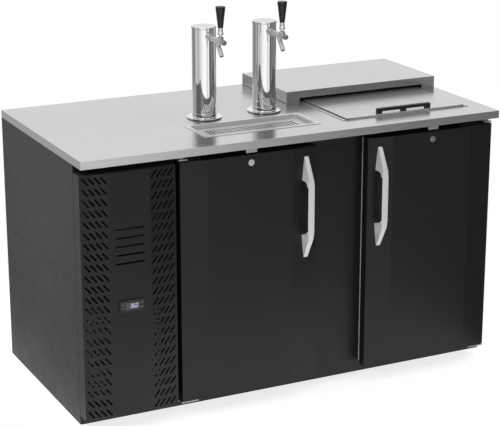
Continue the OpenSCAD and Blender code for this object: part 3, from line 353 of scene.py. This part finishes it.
def moulded(name, level, rough, depth_mm=0.03, tint=0.0):
    """Moulded plastic, vinyl or blackened metal: fine texture and uneven gloss."""
    mat = finish(name, grey(level, tint), 0.0, rough)
    dark, light = grey(level * 0.88, tint), grey(level * 1.12, tint)
    vary_colour(mat, grain(mat, even(40), detail=3), dark, light)
    vary_roughness(mat, grain(mat, even(150), detail=3), rough * 0.85, rough * 1.15)
    relief(mat, grain(mat, even(1500), detail=2), depth_mm, strength=0.3)
    return mat


# Grains per metre of streaks along x, of streaks along z, and of a plain satin surface
STREAK_X = (4, 900, 900)
STREAK_Z = (900, 900, 5)
SATIN = even(60)

finishes = {
    "black_paint": painted("black_paint", 0.005, 0.42),
    # The side paint is the black paint made rougher and four times lighter; its higher level is painted
    # light, for the left side catches more light than the front
    "side_paint": painted("side_paint", 0.02, 0.6),
    "foam": painted("inner_panel", 0.62, 0.5),
    "liner": brushed("mill_aluminium", (0.72, 0.73, 0.74), 0.32, 0.46, even(40)),
    "stainless": brushed("brushed_stainless", (0.6, 0.603, 0.607), 0.17, 0.27, STREAK_X, metallic=0.9),
    "chrome": polished("chrome", (0.9, 0.905, 0.91), 0.03, 0.07),
    "zinc": brushed("bright_zinc", (0.5, 0.5, 0.49), 0.25, 0.4, SATIN, metallic=0.8),
    "satin_metal": brushed("satin_aluminium", (0.84, 0.84, 0.85), 0.42, 0.55, STREAK_Z, metallic=0.35),
    "black_plastic": moulded("black_plastic", 0.006, 0.35),
    "key_plastic": moulded("key_plastic", 0.13, 0.45),
    "lens": moulded("display_window", 0.075, 0.2, depth_mm=0.005, tint=0.02),
    "gasket": moulded("grey_vinyl", 0.5, 0.55, depth_mm=0.05),
    "fastener": moulded("blackened_screw", 0.004, 0.5),
    "machine_paint": painted("machine_enamel", 0.01, 0.28, peel_mm=0.08),
    "copper": polished("copper", (0.75, 0.42, 0.28), 0.18, 0.36),
}
missing = sorted(set(slot_of.values()) - set(finishes))
assert not missing, missing

tray_mat = brushed("satin_stainless", (0.66, 0.662, 0.666), 0.3, 0.42, STREAK_X, metallic=0.5)
grid_mat = brushed("dull_stainless", (0.56, 0.562, 0.566), 0.34, 0.46, STREAK_X, metallic=0.5)
# Near-black finish with almost no gloss: painted shade for the inside of the tray under its grid and for
# the walls of the grid's slots
painted_shade_mat = moulded("tray_painted_shade", 0.006, 0.7)
sockets(painted_shade_mat)["Specular IOR Level"].default_value = 0.05
faucet_mat = brushed("plated_brass", (0.48, 0.483, 0.487), 0.34, 0.42, SATIN, metallic=0.65)
nose_mat = brushed("dark_nickel", (0.2, 0.202, 0.205), 0.34, 0.42, SATIN, metallic=0.6)
cap_mat = polished("satin_chrome", (0.76, 0.765, 0.77), 0.14, 0.2)
grip_mat = moulded("grip_plastic", 0.006, 0.5)
panel_mat = moulded("control_panel", 0.026, 0.42)
rim_mat = moulded("control_rim", 0.009, 0.35)
bolt_mat = moulded("dark_bolt", 0.035, 0.4)
digit_mat = moulded("lit_digits", 0.4, 0.5, depth_mm=0.01, tint=0.1)
sockets(digit_mat)["Emission Color"].default_value = (0.62, 0.6, 1.0, 1)
sockets(digit_mat)["Emission Strength"].default_value = 0.45
floor_mat = finish("pale_floor", grey(0.3), 0.0, 0.8, Emission_Color=(1, 1, 1, 1), Emission_Strength=0.8)
vary_colour(floor_mat, grain(floor_mat, even(2), detail=2), grey(0.29), grey(0.31))


# Dressing of the solids

# Corners nearer than this are one corner, in millimetres
WELD_MM = 0.002
# Bends in degrees: the greatest of a flat face, of a smooth one and of a smooth one on stepped detail,
# and the least whose edge is rounded
FLAT_ANGLE = 0.3
SMOOTH_ANGLE = 32
CRISP_ANGLE = 20
ROUND_ANGLE = 40
ROUND_SEGMENTS = 2
# Folded sheets whose slight bends show as creases, and the least bend in degrees that does
CREASED = ("left_door_skin", "right_door_skin", "vent_grille")
CREASE_ANGLE = 1


def new_piece(name, bm, mat, node):
    """Turns a bmesh into a piece that rides on the body of a solid."""
    mesh = bpy.data.meshes.new(name)
    bm.to_mesh(mesh)
    bm.free()
    mesh.materials.append(mat)
    piece = link(bpy.data.objects.new(name, mesh))
    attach(piece, body_of(nodes[node])[0])
    return piece


def round_edges(piece, width_mm):
    bevel = piece.modifiers.new("rounded_edges", "BEVEL")
    bevel.width = width_mm * MM
    bevel.segments = ROUND_SEGMENTS
    bevel.limit_method = "ANGLE"
    bevel.angle_limit = math.radians(ROUND_ANGLE)
    bevel.harden_normals = True
    bevel.use_clamp_overlap = True
    bevel.loop_slide = False


def smooth_shading(bm, angle):
    for face in bm.faces:
        face.smooth = True
    for edge in bm.edges:
        edge.smooth = edge.calc_face_angle(0) < math.radians(angle)


def welded(mesh):
    """Copy of a mesh whose faces share their corners."""
    bm = bmesh.new()
    bm.from_mesh(mesh)
    bmesh.ops.remove_doubles(bm, verts=bm.verts, dist=WELD_MM * MM)
    return bm


def notched(bm):
    """Flat faces with holes, which are left in two or more pieces, and faces with inner corners."""
    seams = [edge for edge in bm.edges if edge.calc_face_angle(1) < math.radians(FLAT_ANGLE)]
    split = {face for edge in seams for face in edge.link_faces}
    return [f for f in bm.faces if f in split or not all(loop.is_convex for loop in f.loops)]


def dress(node, edge_mm, mat):
    """Shows a solid with welded corners, whole flat faces and softly rounded edges."""
    bm = welded(nodes[node].data)
    bmesh.ops.dissolve_limit(bm, angle_limit=math.radians(FLAT_ANGLE), verts=bm.verts, edges=bm.edges)
    bmesh.ops.triangulate(bm, faces=notched(bm))
    smooth_shading(bm, CREASE_ANGLE if node in CREASED else SMOOTH_ANGLE)
    slot = slot_of[node]
    piece = new_piece(node + "_dressed", bm, mat or finishes[slot], node)
    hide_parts(node)
    round_edges(piece, edge_mm)
    return piece


# Width of the rounded edges of each dressed solid, in millimetres
EDGES = {
    "countertop": 1.0, "club_hood": 1.0, "sliding_lid": 0.8, "lid_tracks": 0.6, "drip_tray": 1.0,
    "vent_grille": 0.4, "grille_frame": 0.5, "face_frame": 0.5, "centre_mullion": 0.5, "base_frame": 0.8,
    "cabinet_shell": 0.5, "upper_side_panel": 0.4, "lower_side_panel": 0.4, "rear_vent_panel": 0.4,
    "cord_gland": 0.8, "controller_housing": 0.8, "controller_lens": 0.4, "lock_strikes": 0.6,
    "door_hinges": 0.6, "tower_flanges": 1.2, "tower_columns": 0.4, "tower_caps": 1.6,
    "faucet_shanks": 0.8, "faucet_bodies": 0.6, "faucet_bonnets": 1.2, "lid_handle": 0.8,
    "levelling_feet": 1.0, "evaporator_housing": 0.6, "control_box": 1.0,
    "left_door_skin": 0.7, "right_door_skin": 0.7, "left_door_handle": 0.8, "right_door_handle": 0.8,
    "left_tap_lever": 0.5, "right_tap_lever": 0.5, "left_tap_handle": 0.8, "right_tap_handle": 0.8,
    "left_lock_barrel": 0.7, "right_lock_barrel": 0.7, "left_lock_plug": 0.4, "right_lock_plug": 0.4,
    "key_top_left": 0.5, "key_bottom_left": 0.5, "key_top_right": 0.5, "key_bottom_right": 0.5,
    "left_door_core": 1.5, "right_door_core": 1.5, "compressor": 1.5, "fan_motors": 1.2,
}
# Dressed solids whose finish isn't that of their slot
OWN_FINISH = {
    # The grille frame takes the lighter side paint, painted light for its left-facing flange
    "controller_housing": panel_mat, "grille_frame": finishes["side_paint"], "tower_caps": cap_mat,
    "drip_tray": tray_mat, "lid_handle": grip_mat,
    "faucet_shanks": faucet_mat, "faucet_bodies": faucet_mat, "faucet_bonnets": faucet_mat,
    "left_tap_lever": cap_mat, "right_tap_lever": cap_mat,
}
dressed = {node: dress(node, width, OWN_FINISH.get(node)) for node, width in EDGES.items()}

# Depth below the grid, in millimetres, from which the tray is painted in shade
TRAY_SHADE_DEPTH = 1


def paint_tray_shade():
    """Painted shade on the faces of the tray that lie below its grid, where little light reaches."""
    mesh = dressed["drip_tray"].data
    mesh.materials.append(painted_shade_mat)
    shade_z = box("drip_grid")[0].z - TRAY_SHADE_DEPTH * MM
    for face in mesh.polygons:
        if face.center.z < shade_z:
            face.material_index = 1


# Fine detail, with its sizes in millimetres

def islands(node):
    """Boxes (low, high) of the separate solids of a node."""
    bm = welded(nodes[node].data)
    seen = set()
    boxes = []
    for start in bm.verts:
        if start in seen:
            continue
        seen.add(start)
        reached = [start]
        for vert in reached:
            for edge in vert.link_edges:
                other = edge.other_vert(vert)
                if other not in seen:
                    seen.add(other)
                    reached.append(other)
        spans = list(zip(*(vert.co for vert in reached)))
        boxes.append((Vector(map(min, spans)), Vector(map(max, spans))))
    bm.free()
    return boxes


def band(bm, first, second):
    """Faces between two closed rows of corners."""
    for i in range(len(first)):
        j = (i + 1) % len(first)
        bm.faces.new((first[i], first[j], second[j], second[i]))


def skin(bm, loops, ring=False):
    """Faces between loops of points, closed by a cap at each end or joined into a ring."""
    rows = [[bm.verts.new(point) for point in loop] for loop in loops]
    pairs = list(zip(rows, rows[1:]))
    if ring:
        pairs.append((rows[-1], rows[0]))
    else:
        bm.faces.new(rows[0])
        bm.faces.new(rows[-1])
    for first, second in pairs:
        band(bm, first, second)


def finished(bm, angle=SMOOTH_ANGLE):
    bmesh.ops.recalc_face_normals(bm, faces=bm.faces)
    smooth_shading(bm, angle)
    return bm


def circle(radius, sides):
    """Points (across, up) round a circle."""
    angles = [2 * math.pi * i / sides for i in range(sides)]
    return [(radius * math.cos(a), radius * math.sin(a)) for a in angles]


UP, FORWARD, BACKWARD = (0, 0, 1), (0, -1, 0), (0, 1, 0)


def turned(bm, base, axis, profile, sides, tooth=0.0):
    """Turned form with a profile of (distance along the axis, radius).

    Teeth, if any, make every other corner that much smaller.
    """
    turn_to = Vector(UP).rotation_difference(Vector(axis))
    loops = []
    for along, radius in profile:
        loop = []
        for i in range(sides):
            r = (radius - tooth * (i % 2)) * MM
            a = 2 * math.pi * i / sides
            loop.append(Vector(base) + turn_to @ Vector((r * math.cos(a), r * math.sin(a), along * MM)))
        loops.append(loop)
    skin(bm, loops)


def mitred(low, high, section):
    """Frame round an upright oblong, with a section of (inset, distance behind the low corner)."""
    bm = bmesh.new()
    left, right = (low.x, 1), (high.x, -1)
    bottom, top = (low.z, 1), (high.z, -1)
    loops = []
    for (x, right_to), (z, up_to) in ((left, bottom), (right, bottom), (right, top), (left, top)):
        loops.append([(x + right_to * u * MM, low.y + v * MM, z + up_to * u * MM) for u, v in section])
    skin(bm, loops, ring=True)
    return bm


def side_strips(low, high, section, end):
    """Strip along each side of a box, with a section of (distance out, height in metres)."""
    bm = bmesh.new()
    ends = (low.y + end * MM, high.y - end * MM)
    for x, out in ((low.x, -1), (high.x, 1)):
        skin(bm, [[(x + out * reach * MM, y, z) for reach, z in section] for y in ends])
    return finished(bm)


# Section of a magnetic door seal: inset from its outer edge, and depth from the door
SEAL_SECTION = [
    (0, 0), (18, 0), (18, 2.4), (14.6, 3.6), (12.6, 5.4), (16.4, 7.6), (16.8, 9.4), (13.6, 11.2),
    (16, 12.4), (16, 17.5), (2, 17.5), (2, 12.4), (4.4, 11.2), (1.2, 9.4), (1.6, 7.6), (5.4, 5.4),
    (3.4, 3.6), (0, 2.4),
]
SEAL_CUTS = 2
SEAL_SMOOTH_ANGLE = 50


def rounded(points, cuts):
    """Closed outline with its corners cut off again and again."""
    for _ in range(cuts):
        sides = list(zip(points, points[1:] + points[:1]))
        points = [tuple(p * (1 - t) + q * t for p, q in zip(a, b)) for a, b in sides for t in (0.2, 0.8)]
    return points


def make_seals():
    """Folded vinyl seals, mitred at the corners of the doors."""
    for node in ("left_door_gasket", "right_door_gasket"):
        bm = finished(mitred(*box(node), rounded(SEAL_SECTION, SEAL_CUTS)), SEAL_SMOOTH_ANGLE)
        piece = new_piece(node + "_folded", bm, finishes["gasket"], node)
        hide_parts(node)


# Depths of a panel screw's back, edge, face and recess
SCREW_BACK, SCREW_EDGE, SCREW_FACE, SCREW_RECESS = 1.5, 0.5, 0.05, 0.9
# Shares of its radius: flat of the face, length and half width of the recess's arms
SCREW_FLAT, RECESS_ARM, RECESS_HALF = 0.75, 0.55, 0.14
# Size of the recess's floor beside its mouth
RECESS_FLOOR = 0.8
SCREW_SIDES = 24


def cross_outline(arm, half_width):
    """Outline of a cross recess, as twelve points."""
    quarter = [(arm, -half_width), (arm, half_width), (half_width, half_width)]
    points = []
    for c, s in ((1, 0), (0, 1), (-1, 0), (0, -1)):
        points += [(c * u - s * v, s * u + c * v) for u, v in quarter]
    return points


def closed_edges(row):
    return [(row[i], row[i - 1]) for i in range(len(row))]


def make_panel_screws():
    """Flush screws with a cross recess, facing left."""
    bm = bmesh.new()
    for low, high in islands("panel_screws"):
        mid = (low + high) / 2
        radius = (high.y - low.y) / 2 / MM

        def row(depth, points):
            return [bm.verts.new((low.x + depth * MM, mid.y + u * MM, mid.z + v * MM)) for u, v in points]

        back = row(SCREW_BACK, circle(radius, SCREW_SIDES))
        edge = row(SCREW_EDGE, circle(radius, SCREW_SIDES))
        flat = row(SCREW_FACE, circle(SCREW_FLAT * radius, SCREW_SIDES))
        band(bm, back, edge)
        band(bm, edge, flat)
        bm.faces.new(back)
        recess = cross_outline(RECESS_ARM * radius, RECESS_HALF * radius)
        mouth = row(SCREW_FACE, recess)
        floor = row(SCREW_RECESS, [scaled(point, RECESS_FLOOR) for point in recess])
        rim = [bm.edges.get(ends) for ends in closed_edges(flat)]
        mouth_edges = [bm.edges.new(ends) for ends in closed_edges(mouth)]
        bmesh.ops.bridge_loops(bm, edges=rim + mouth_edges)
        band(bm, mouth, floor)
        bm.faces.new(floor)
    piece = new_piece("panel_screws_cross", finished(bm), finishes["fastener"], "panel_screws")
    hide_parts("panel_screws")


WASHER = [(0, 6.4), (0.9, 6.4), (1.1, 6.1)]
WASHER_SIDES = 24
BOLT_HEAD = [(1.1, 5.0), (3.2, 5.0), (3.9, 4.1)]
BOLT_SIDES = 6
# Thickness of a hinge's flange, distance of the bolts from its free edge, and their places along it
FLANGE_T = 3.9
BOLT_INSET = 6.8
BOLT_PLACES = (0.5, 0.86)
# Height in metres that is between the lower and the upper hinges
HINGE_MID = 0.4


def make_hinge_bolts():
    """Two bolts and washers through the flange of each hinge bracket."""
    bm = bmesh.new()
    for low, high in islands("door_hinges"):
        z = high.z - BOLT_INSET * MM if low.z > HINGE_MID else low.z + BOLT_INSET * MM
        outer, inward = (low.x, 1) if low.x < 0 else (high.x, -1)
        for place in BOLT_PLACES:
            base = (outer + inward * place * (high.x - low.x), high.y - FLANGE_T * MM, z)
            turned(bm, base, FORWARD, WASHER, WASHER_SIDES)
            turned(bm, base, FORWARD, BOLT_HEAD, BOLT_SIDES)
    new_piece("hinge_bolts", finished(bm), bolt_mat, "door_hinges")


FRONT_END, BACK_END = 0, 1


def faucet_ends(end):
    """Front or back end of the axis of each faucet."""
    low, high = islands("faucet_shanks")[0]
    z = (low.z + high.z) / 2
    return [((corners[0].x + corners[1].x) / 2, corners[end].y, z) for corners in islands("faucet_bodies")]


# Ring of a coupling nut: profile, corners, depth of its teeth and distance ahead of the faucet's back
NUT_RING = [(0, 12.05), (0.4, 12.5), (6.8, 12.5), (7.2, 12.05)]
NUT_SIDES = 72
NUT_TOOTH = 0.25
NUT_AHEAD = 8.6


def make_faucet_nuts():
    """Finely knurled ring round the coupling nut of each faucet."""
    bm = bmesh.new()
    for x, y, z in faucet_ends(BACK_END):
        turned(bm, (x, y - NUT_AHEAD * MM, z), BACKWARD, NUT_RING, NUT_SIDES, NUT_TOOTH)
    new_piece("faucet_nut_rings", finished(bm, CRISP_ANGLE), faucet_mat, "faucet_bodies")


# Height above the lever's pivot and radius of the ferrule under a tap handle
FERRULE = [
    (9, 4.3), (13.5, 4.6), (15.5, 9.0), (16.2, 9.4), (23.2, 9.4), (24, 8.8), (24.4, 7.9), (37, 7.9),
    (37.8, 7.4), (37.8, 5.8),
]
FERRULE_SIDES = 48
# Radius of the lever's ball, whose middle is its pivot
BALL_R = 6.5


def make_ferrules():
    """Bright stepped ferrule between each tap lever and its handle."""
    for side in ("left", "right"):
        lever = side + "_tap_lever"
        low, high = box(lever)
        pivot = ((low.x + high.x) / 2, (low.y + high.y) / 2, low.z + BALL_R * MM)
        bm = bmesh.new()
        turned(bm, pivot, UP, FERRULE, FERRULE_SIDES)
        new_piece(side + "_tap_ferrule", finished(bm, CRISP_ANGLE), cap_mat, lever)


# Cap on a faucet's nose: radius, how far it leads the faucet's front, corners, and angles of its rings
NOSE_R = 9.0
NOSE_LEAD = 4.0
NOSE_SIDES = 40
NOSE_ANGLES = range(-60, 58, 9)


def make_noses():
    """Rounded dark end cap with a flat face on the nose of each faucet."""
    bm = bmesh.new()
    bends = [math.radians(degrees) for degrees in NOSE_ANGLES]
    profile = [(NOSE_R * math.sin(bend), NOSE_R * math.cos(bend)) for bend in bends]
    for x, y, z in faucet_ends(FRONT_END):
        turned(bm, (x, y + (NOSE_R - NOSE_LEAD) * MM, z), FORWARD, profile, NOSE_SIDES)
    new_piece("faucet_nose_caps", finished(bm), nose_mat, "faucet_bodies")


# Black strip that paints the shade in the gap beside the lid: thickness, edge, and distances from the
# lid's foot, head and ends
STRIP_T, STRIP_EDGE = 0.7, 0.4
STRIP_FOOT, STRIP_HEAD, STRIP_END = 0.6, 1.6, 2.0


def make_lid_gap_shade():
    """Thin black strip along each side of the sliding lid, painted shade for the dark gap between the lid
    and its rails.
    """
    low, high = box("sliding_lid")
    bottom, top = low.z + STRIP_FOOT * MM, high.z - STRIP_HEAD * MM
    edge = STRIP_EDGE * MM
    section = [(0, bottom), (STRIP_T, bottom + edge), (STRIP_T, top - edge), (0, top)]
    bm = side_strips(low, high, section, STRIP_END)
    new_piece("lid_gap_shade_strips", bm, finishes["black_plastic"], "sliding_lid")


# Drip grid: width, length and spacing of its slots, margin, corner radius, and breadth of its own edge
GRID_SLOT = (7.6, 13.5)
GRID_PITCH = (13.4, 17.5)
GRID_MARGIN = 26
GRID_CORNER = 4
GRID_EDGE = 1


def arc(cx, cy, radius, start, sweep, steps=6):
    """Points of an arc; angles in degrees."""
    angles = [math.radians(start + sweep * i / steps) for i in range(steps + 1)]
    return [(cx + radius * math.cos(a), cy + radius * math.sin(a)) for a in angles]


def make_drip_grid():
    """Pressed steel grid with rows of round-ended slots, whose walls carry painted shade."""
    low, high = box("drip_grid")
    size = high - low
    mid = (low + high) / 2
    plan = bpy.data.curves.new("grid_plan", "CURVE")
    plan.dimensions = "2D"
    plan.fill_mode = "BOTH"
    plan.extrude = size.z / 2

    def outline(points):
        spline = plan.splines.new("POLY")
        spline.points.add(len(points) - 1)
        for point, (x, y) in zip(spline.points, points):
            point.co = (x, y, 0, 1)
        spline.use_cyclic_u = True

    corner = GRID_CORNER * MM
    across, along = size.x / 2 - corner, size.y / 2 - corner
    corners = ((across, along, 0), (-across, along, 90), (-across, -along, 180), (across, -along, 270))
    outline([point for x, y, start in corners for point in arc(x, y, corner, start, 90)])
    columns = int((size.x / MM - 2 * GRID_MARGIN) / GRID_PITCH[0])
    rows = int((size.y / MM - 2 * GRID_MARGIN) / GRID_PITCH[1])
    half_w = GRID_SLOT[0] / 2 * MM
    reach = (GRID_SLOT[1] - GRID_SLOT[0]) / 2 * MM
    for i, j in product(range(columns), range(rows)):
        x = (i - (columns - 1) / 2) * GRID_PITCH[0] * MM
        y = (j - (rows - 1) / 2) * GRID_PITCH[1] * MM
        outline(arc(x, y + reach, half_w, 0, 180) + arc(x, y - reach, half_w, 180, 180))

    bm = welded(bpy.data.meshes.new_from_object(bpy.data.objects.new("grid_plan", plan)))
    bmesh.ops.translate(bm, verts=bm.verts, vec=mid)
    edge_x, edge_y = size.x / 2 - GRID_EDGE * MM, size.y / 2 - GRID_EDGE * MM
    # Upright faces inside the grid's own edge are the walls of the slots, which get the painted shade
    for face in bm.faces:
        middle = face.calc_center_median() - mid
        upright = abs(face.normal.z) < 0.5
        if upright and abs(middle.x) < edge_x and abs(middle.y) < edge_y:
            face.material_index = 1
    piece = new_piece("drip_grid_pressed", finished(bm), grid_mat, "drip_grid")
    piece.data.materials.append(painted_shade_mat)
    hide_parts("drip_grid")


# Bars of a seven-bar figure: middle across and up in halves of its size, and whether it stands upright
BARS = {
    "a": (0, 1, False), "b": (1, 0.5, True), "c": (1, -0.5, True), "d": (0, -1, False),
    "e": (-1, -0.5, True), "f": (-1, 0.5, True), "g": (0, 0, False),
}
FIGURES = {"3": "abcdg", "6": "acdefg", "0": "abcdef"}
FIGURE_W, FIGURE_H, SLANT = 6.4, 12.4, 0.1
BAR_T, BAR_GAP = 2.0, 0.2
FIGURE_PROUD = 0.12
# Figures shown and their middles, and the middle of the decimal point, from the window's right edge
DISPLAY = (("3", -24.6), ("6", -15.4), ("0", -5.4))
POINT_AT = -10.4
POINT_R, POINT_SIDES = 1.4, 8


def make_digits():
    """Lit temperature figures, a hair proud of the display window."""
    low, high = box("controller_lens")
    mid_z = (low.z + high.z) / 2
    bm = bmesh.new()

    def plate(points):
        face = [(high.x + (u + SLANT * v) * MM, mid_z + v * MM) for u, v in points]
        skin(bm, [[(x, y, z) for x, z in face] for y in (low.y, low.y - FIGURE_PROUD * MM)])

    for figure, middle in DISPLAY:
        for bar in FIGURES[figure]:
            across, up, upright = BARS[bar]
            half = (FIGURE_H / 4 if upright else FIGURE_W / 2) - BAR_GAP
            w = BAR_T / 2
            inner = half - w
            outline = [(-half, 0), (-inner, w), (inner, w), (half, 0), (inner, -w), (-inner, -w)]
            if upright:
                outline = [(-v, u) for u, v in outline]
            plate([(middle + across * FIGURE_W / 2 + u, up * FIGURE_H / 2 + v) for u, v in outline])
    plate([(POINT_AT + u, v - FIGURE_H / 2) for u, v in circle(POINT_R, POINT_SIDES)])
    new_piece("display_figures", finished(bm), digit_mat, "controller_lens")


# Section of the rim of the control panel: inset from its edge, and distance behind its front
RIM_SECTION = [(0, 0), (0, -0.5), (0.5, -0.9), (3.2, -0.9), (3.9, -0.3), (3.9, 0)]


def make_bezel_rim():
    """Raised rim round the control panel."""
    bm = finished(mitred(*box("controller_housing"), RIM_SECTION))
    new_piece("control_panel_rim", bm, rim_mat, "controller_housing")


# Gasket of a tower, whose black band also paints the shadow line under the flange: heights of its foot and
# head, how far it shows, its inner inset and its corners
GASKET_FOOT, GASKET_HEAD = -0.05, 1.2
GASKET_OUT, GASKET_IN = 0.5, 1
GASKET_SIDES = 96
# Grub screws of a tower: radius of the hub, depth in it, distance below its top, profile and places
HUB_R = 41.1
GRUB_DEPTH = 1.2
GRUB_DROP = 7
GRUB_SCREW = [(0, 2.6), (1.5, 2.6), (1.5, 1.5), (0.6, 1.4)]
GRUB_SIDES = 18
GRUB_ANGLES = (-130, -10, 110)


def make_tower_trim():
    """Thin black gasket under each tower flange, which also paints the shadow line under it, and three
    grub screws round its hub.
    """
    gaskets, screws = bmesh.new(), bmesh.new()
    for low, high in islands("tower_flanges"):
        mid = (low + high) / 2
        flange_r = (high.x - low.x) / 2 / MM
        inner, outer = flange_r - GASKET_IN, flange_r + GASKET_OUT
        profile = [(GASKET_FOOT, inner), (GASKET_FOOT, outer), (GASKET_HEAD, outer), (GASKET_HEAD, inner)]
        turned(gaskets, (mid.x, mid.y, low.z), UP, profile, GASKET_SIDES)
        hub = Vector((mid.x, mid.y, high.z - GRUB_DROP * MM))
        for degrees in GRUB_ANGLES:
            out = Vector((math.cos(math.radians(degrees)), math.sin(math.radians(degrees)), 0))
            turned(screws, hub + out * (HUB_R - GRUB_DEPTH) * MM, out, GRUB_SCREW, GRUB_SIDES)
    rubber_and_shade = finishes["black_plastic"]
    new_piece("tower_gaskets_and_shadow_lines", finished(gaskets), rubber_and_shade, "tower_flanges")
    new_piece("tower_grub_screws", finished(screws), bolt_mat, "tower_flanges")


# Screws on a door's upper edge: profile, corners, distances from the hinge side and from the back
DOOR_SCREW = [(-0.2, 4.6), (0.9, 4.6), (1.9, 3.4), (2.1, 1.6), (1.2, 1.5)]
DOOR_SCREW_SIDES = 24
DOOR_SCREW_ALONG = (41, 66)
DOOR_SCREW_AHEAD = 16


def make_door_screws():
    """Pair of screws beside the hinge pin, on the upper edge of each door."""
    for side, inward in (("left", 1), ("right", -1)):
        door = side + "_door_skin"
        low, high = box(door)
        hinge_x = low.x if inward > 0 else high.x
        bm = bmesh.new()
        for along in DOOR_SCREW_ALONG:
            base = (hinge_x + inward * along * MM, high.y - DOOR_SCREW_AHEAD * MM, high.z)
            turned(bm, base, UP, DOOR_SCREW, DOOR_SCREW_SIDES)
        new_piece(side + "_door_screws", finished(bm), bolt_mat, door)


# Dark bead at the hood's foot, painted shadow where the hood meets the counter: distance out and height of
# its section, and distance from the ends
BEAD_SECTION = [(0, 0), (0.9, 0), (0.7, 0.9), (0, 1.6)]
BEAD_END = 1


def make_hood_shadow_bead():
    """Dark bead along the foot of the hood's two sides, painted shadow where the hood meets the counter.
    """
    low, high = box("club_hood")
    bm = side_strips(low, high, [(out, low.z + up * MM) for out, up in BEAD_SECTION], BEAD_END)
    # The bead takes the dark bolt finish as painted shadow
    new_piece("hood_contact_shadow", bm, bolt_mat, "club_hood")


paint_tray_shade()
make_seals()
make_panel_screws()
make_hinge_bolts()
make_faucet_nuts()
make_ferrules()
make_noses()
make_lid_gap_shade()
make_drip_grid()
make_digits()
make_bezel_rim()
make_tower_trim()
make_door_screws()
make_hood_shadow_bead()

# Solids that fine detail replaces; the solids that nothing replaces show as they are
REPLACED = {"left_door_gasket", "right_door_gasket", "panel_screws", "drip_grid"}
for name, part in nodes.items():
    if name not in EDGES and name not in REPLACED:
        part.data.materials.clear()
        part.data.materials.append(finishes[slot_of[name]])


# Camera, room, floor and lamps

make_camera()
make_world()
make_floor(floor_mat)
make_lamp("key_light", **KEY_LIGHT)
side_light = make_lamp("side_light", **SIDE_LIGHT)
side_light.visible_glossy = False
scene.view_settings.view_transform = "Standard"
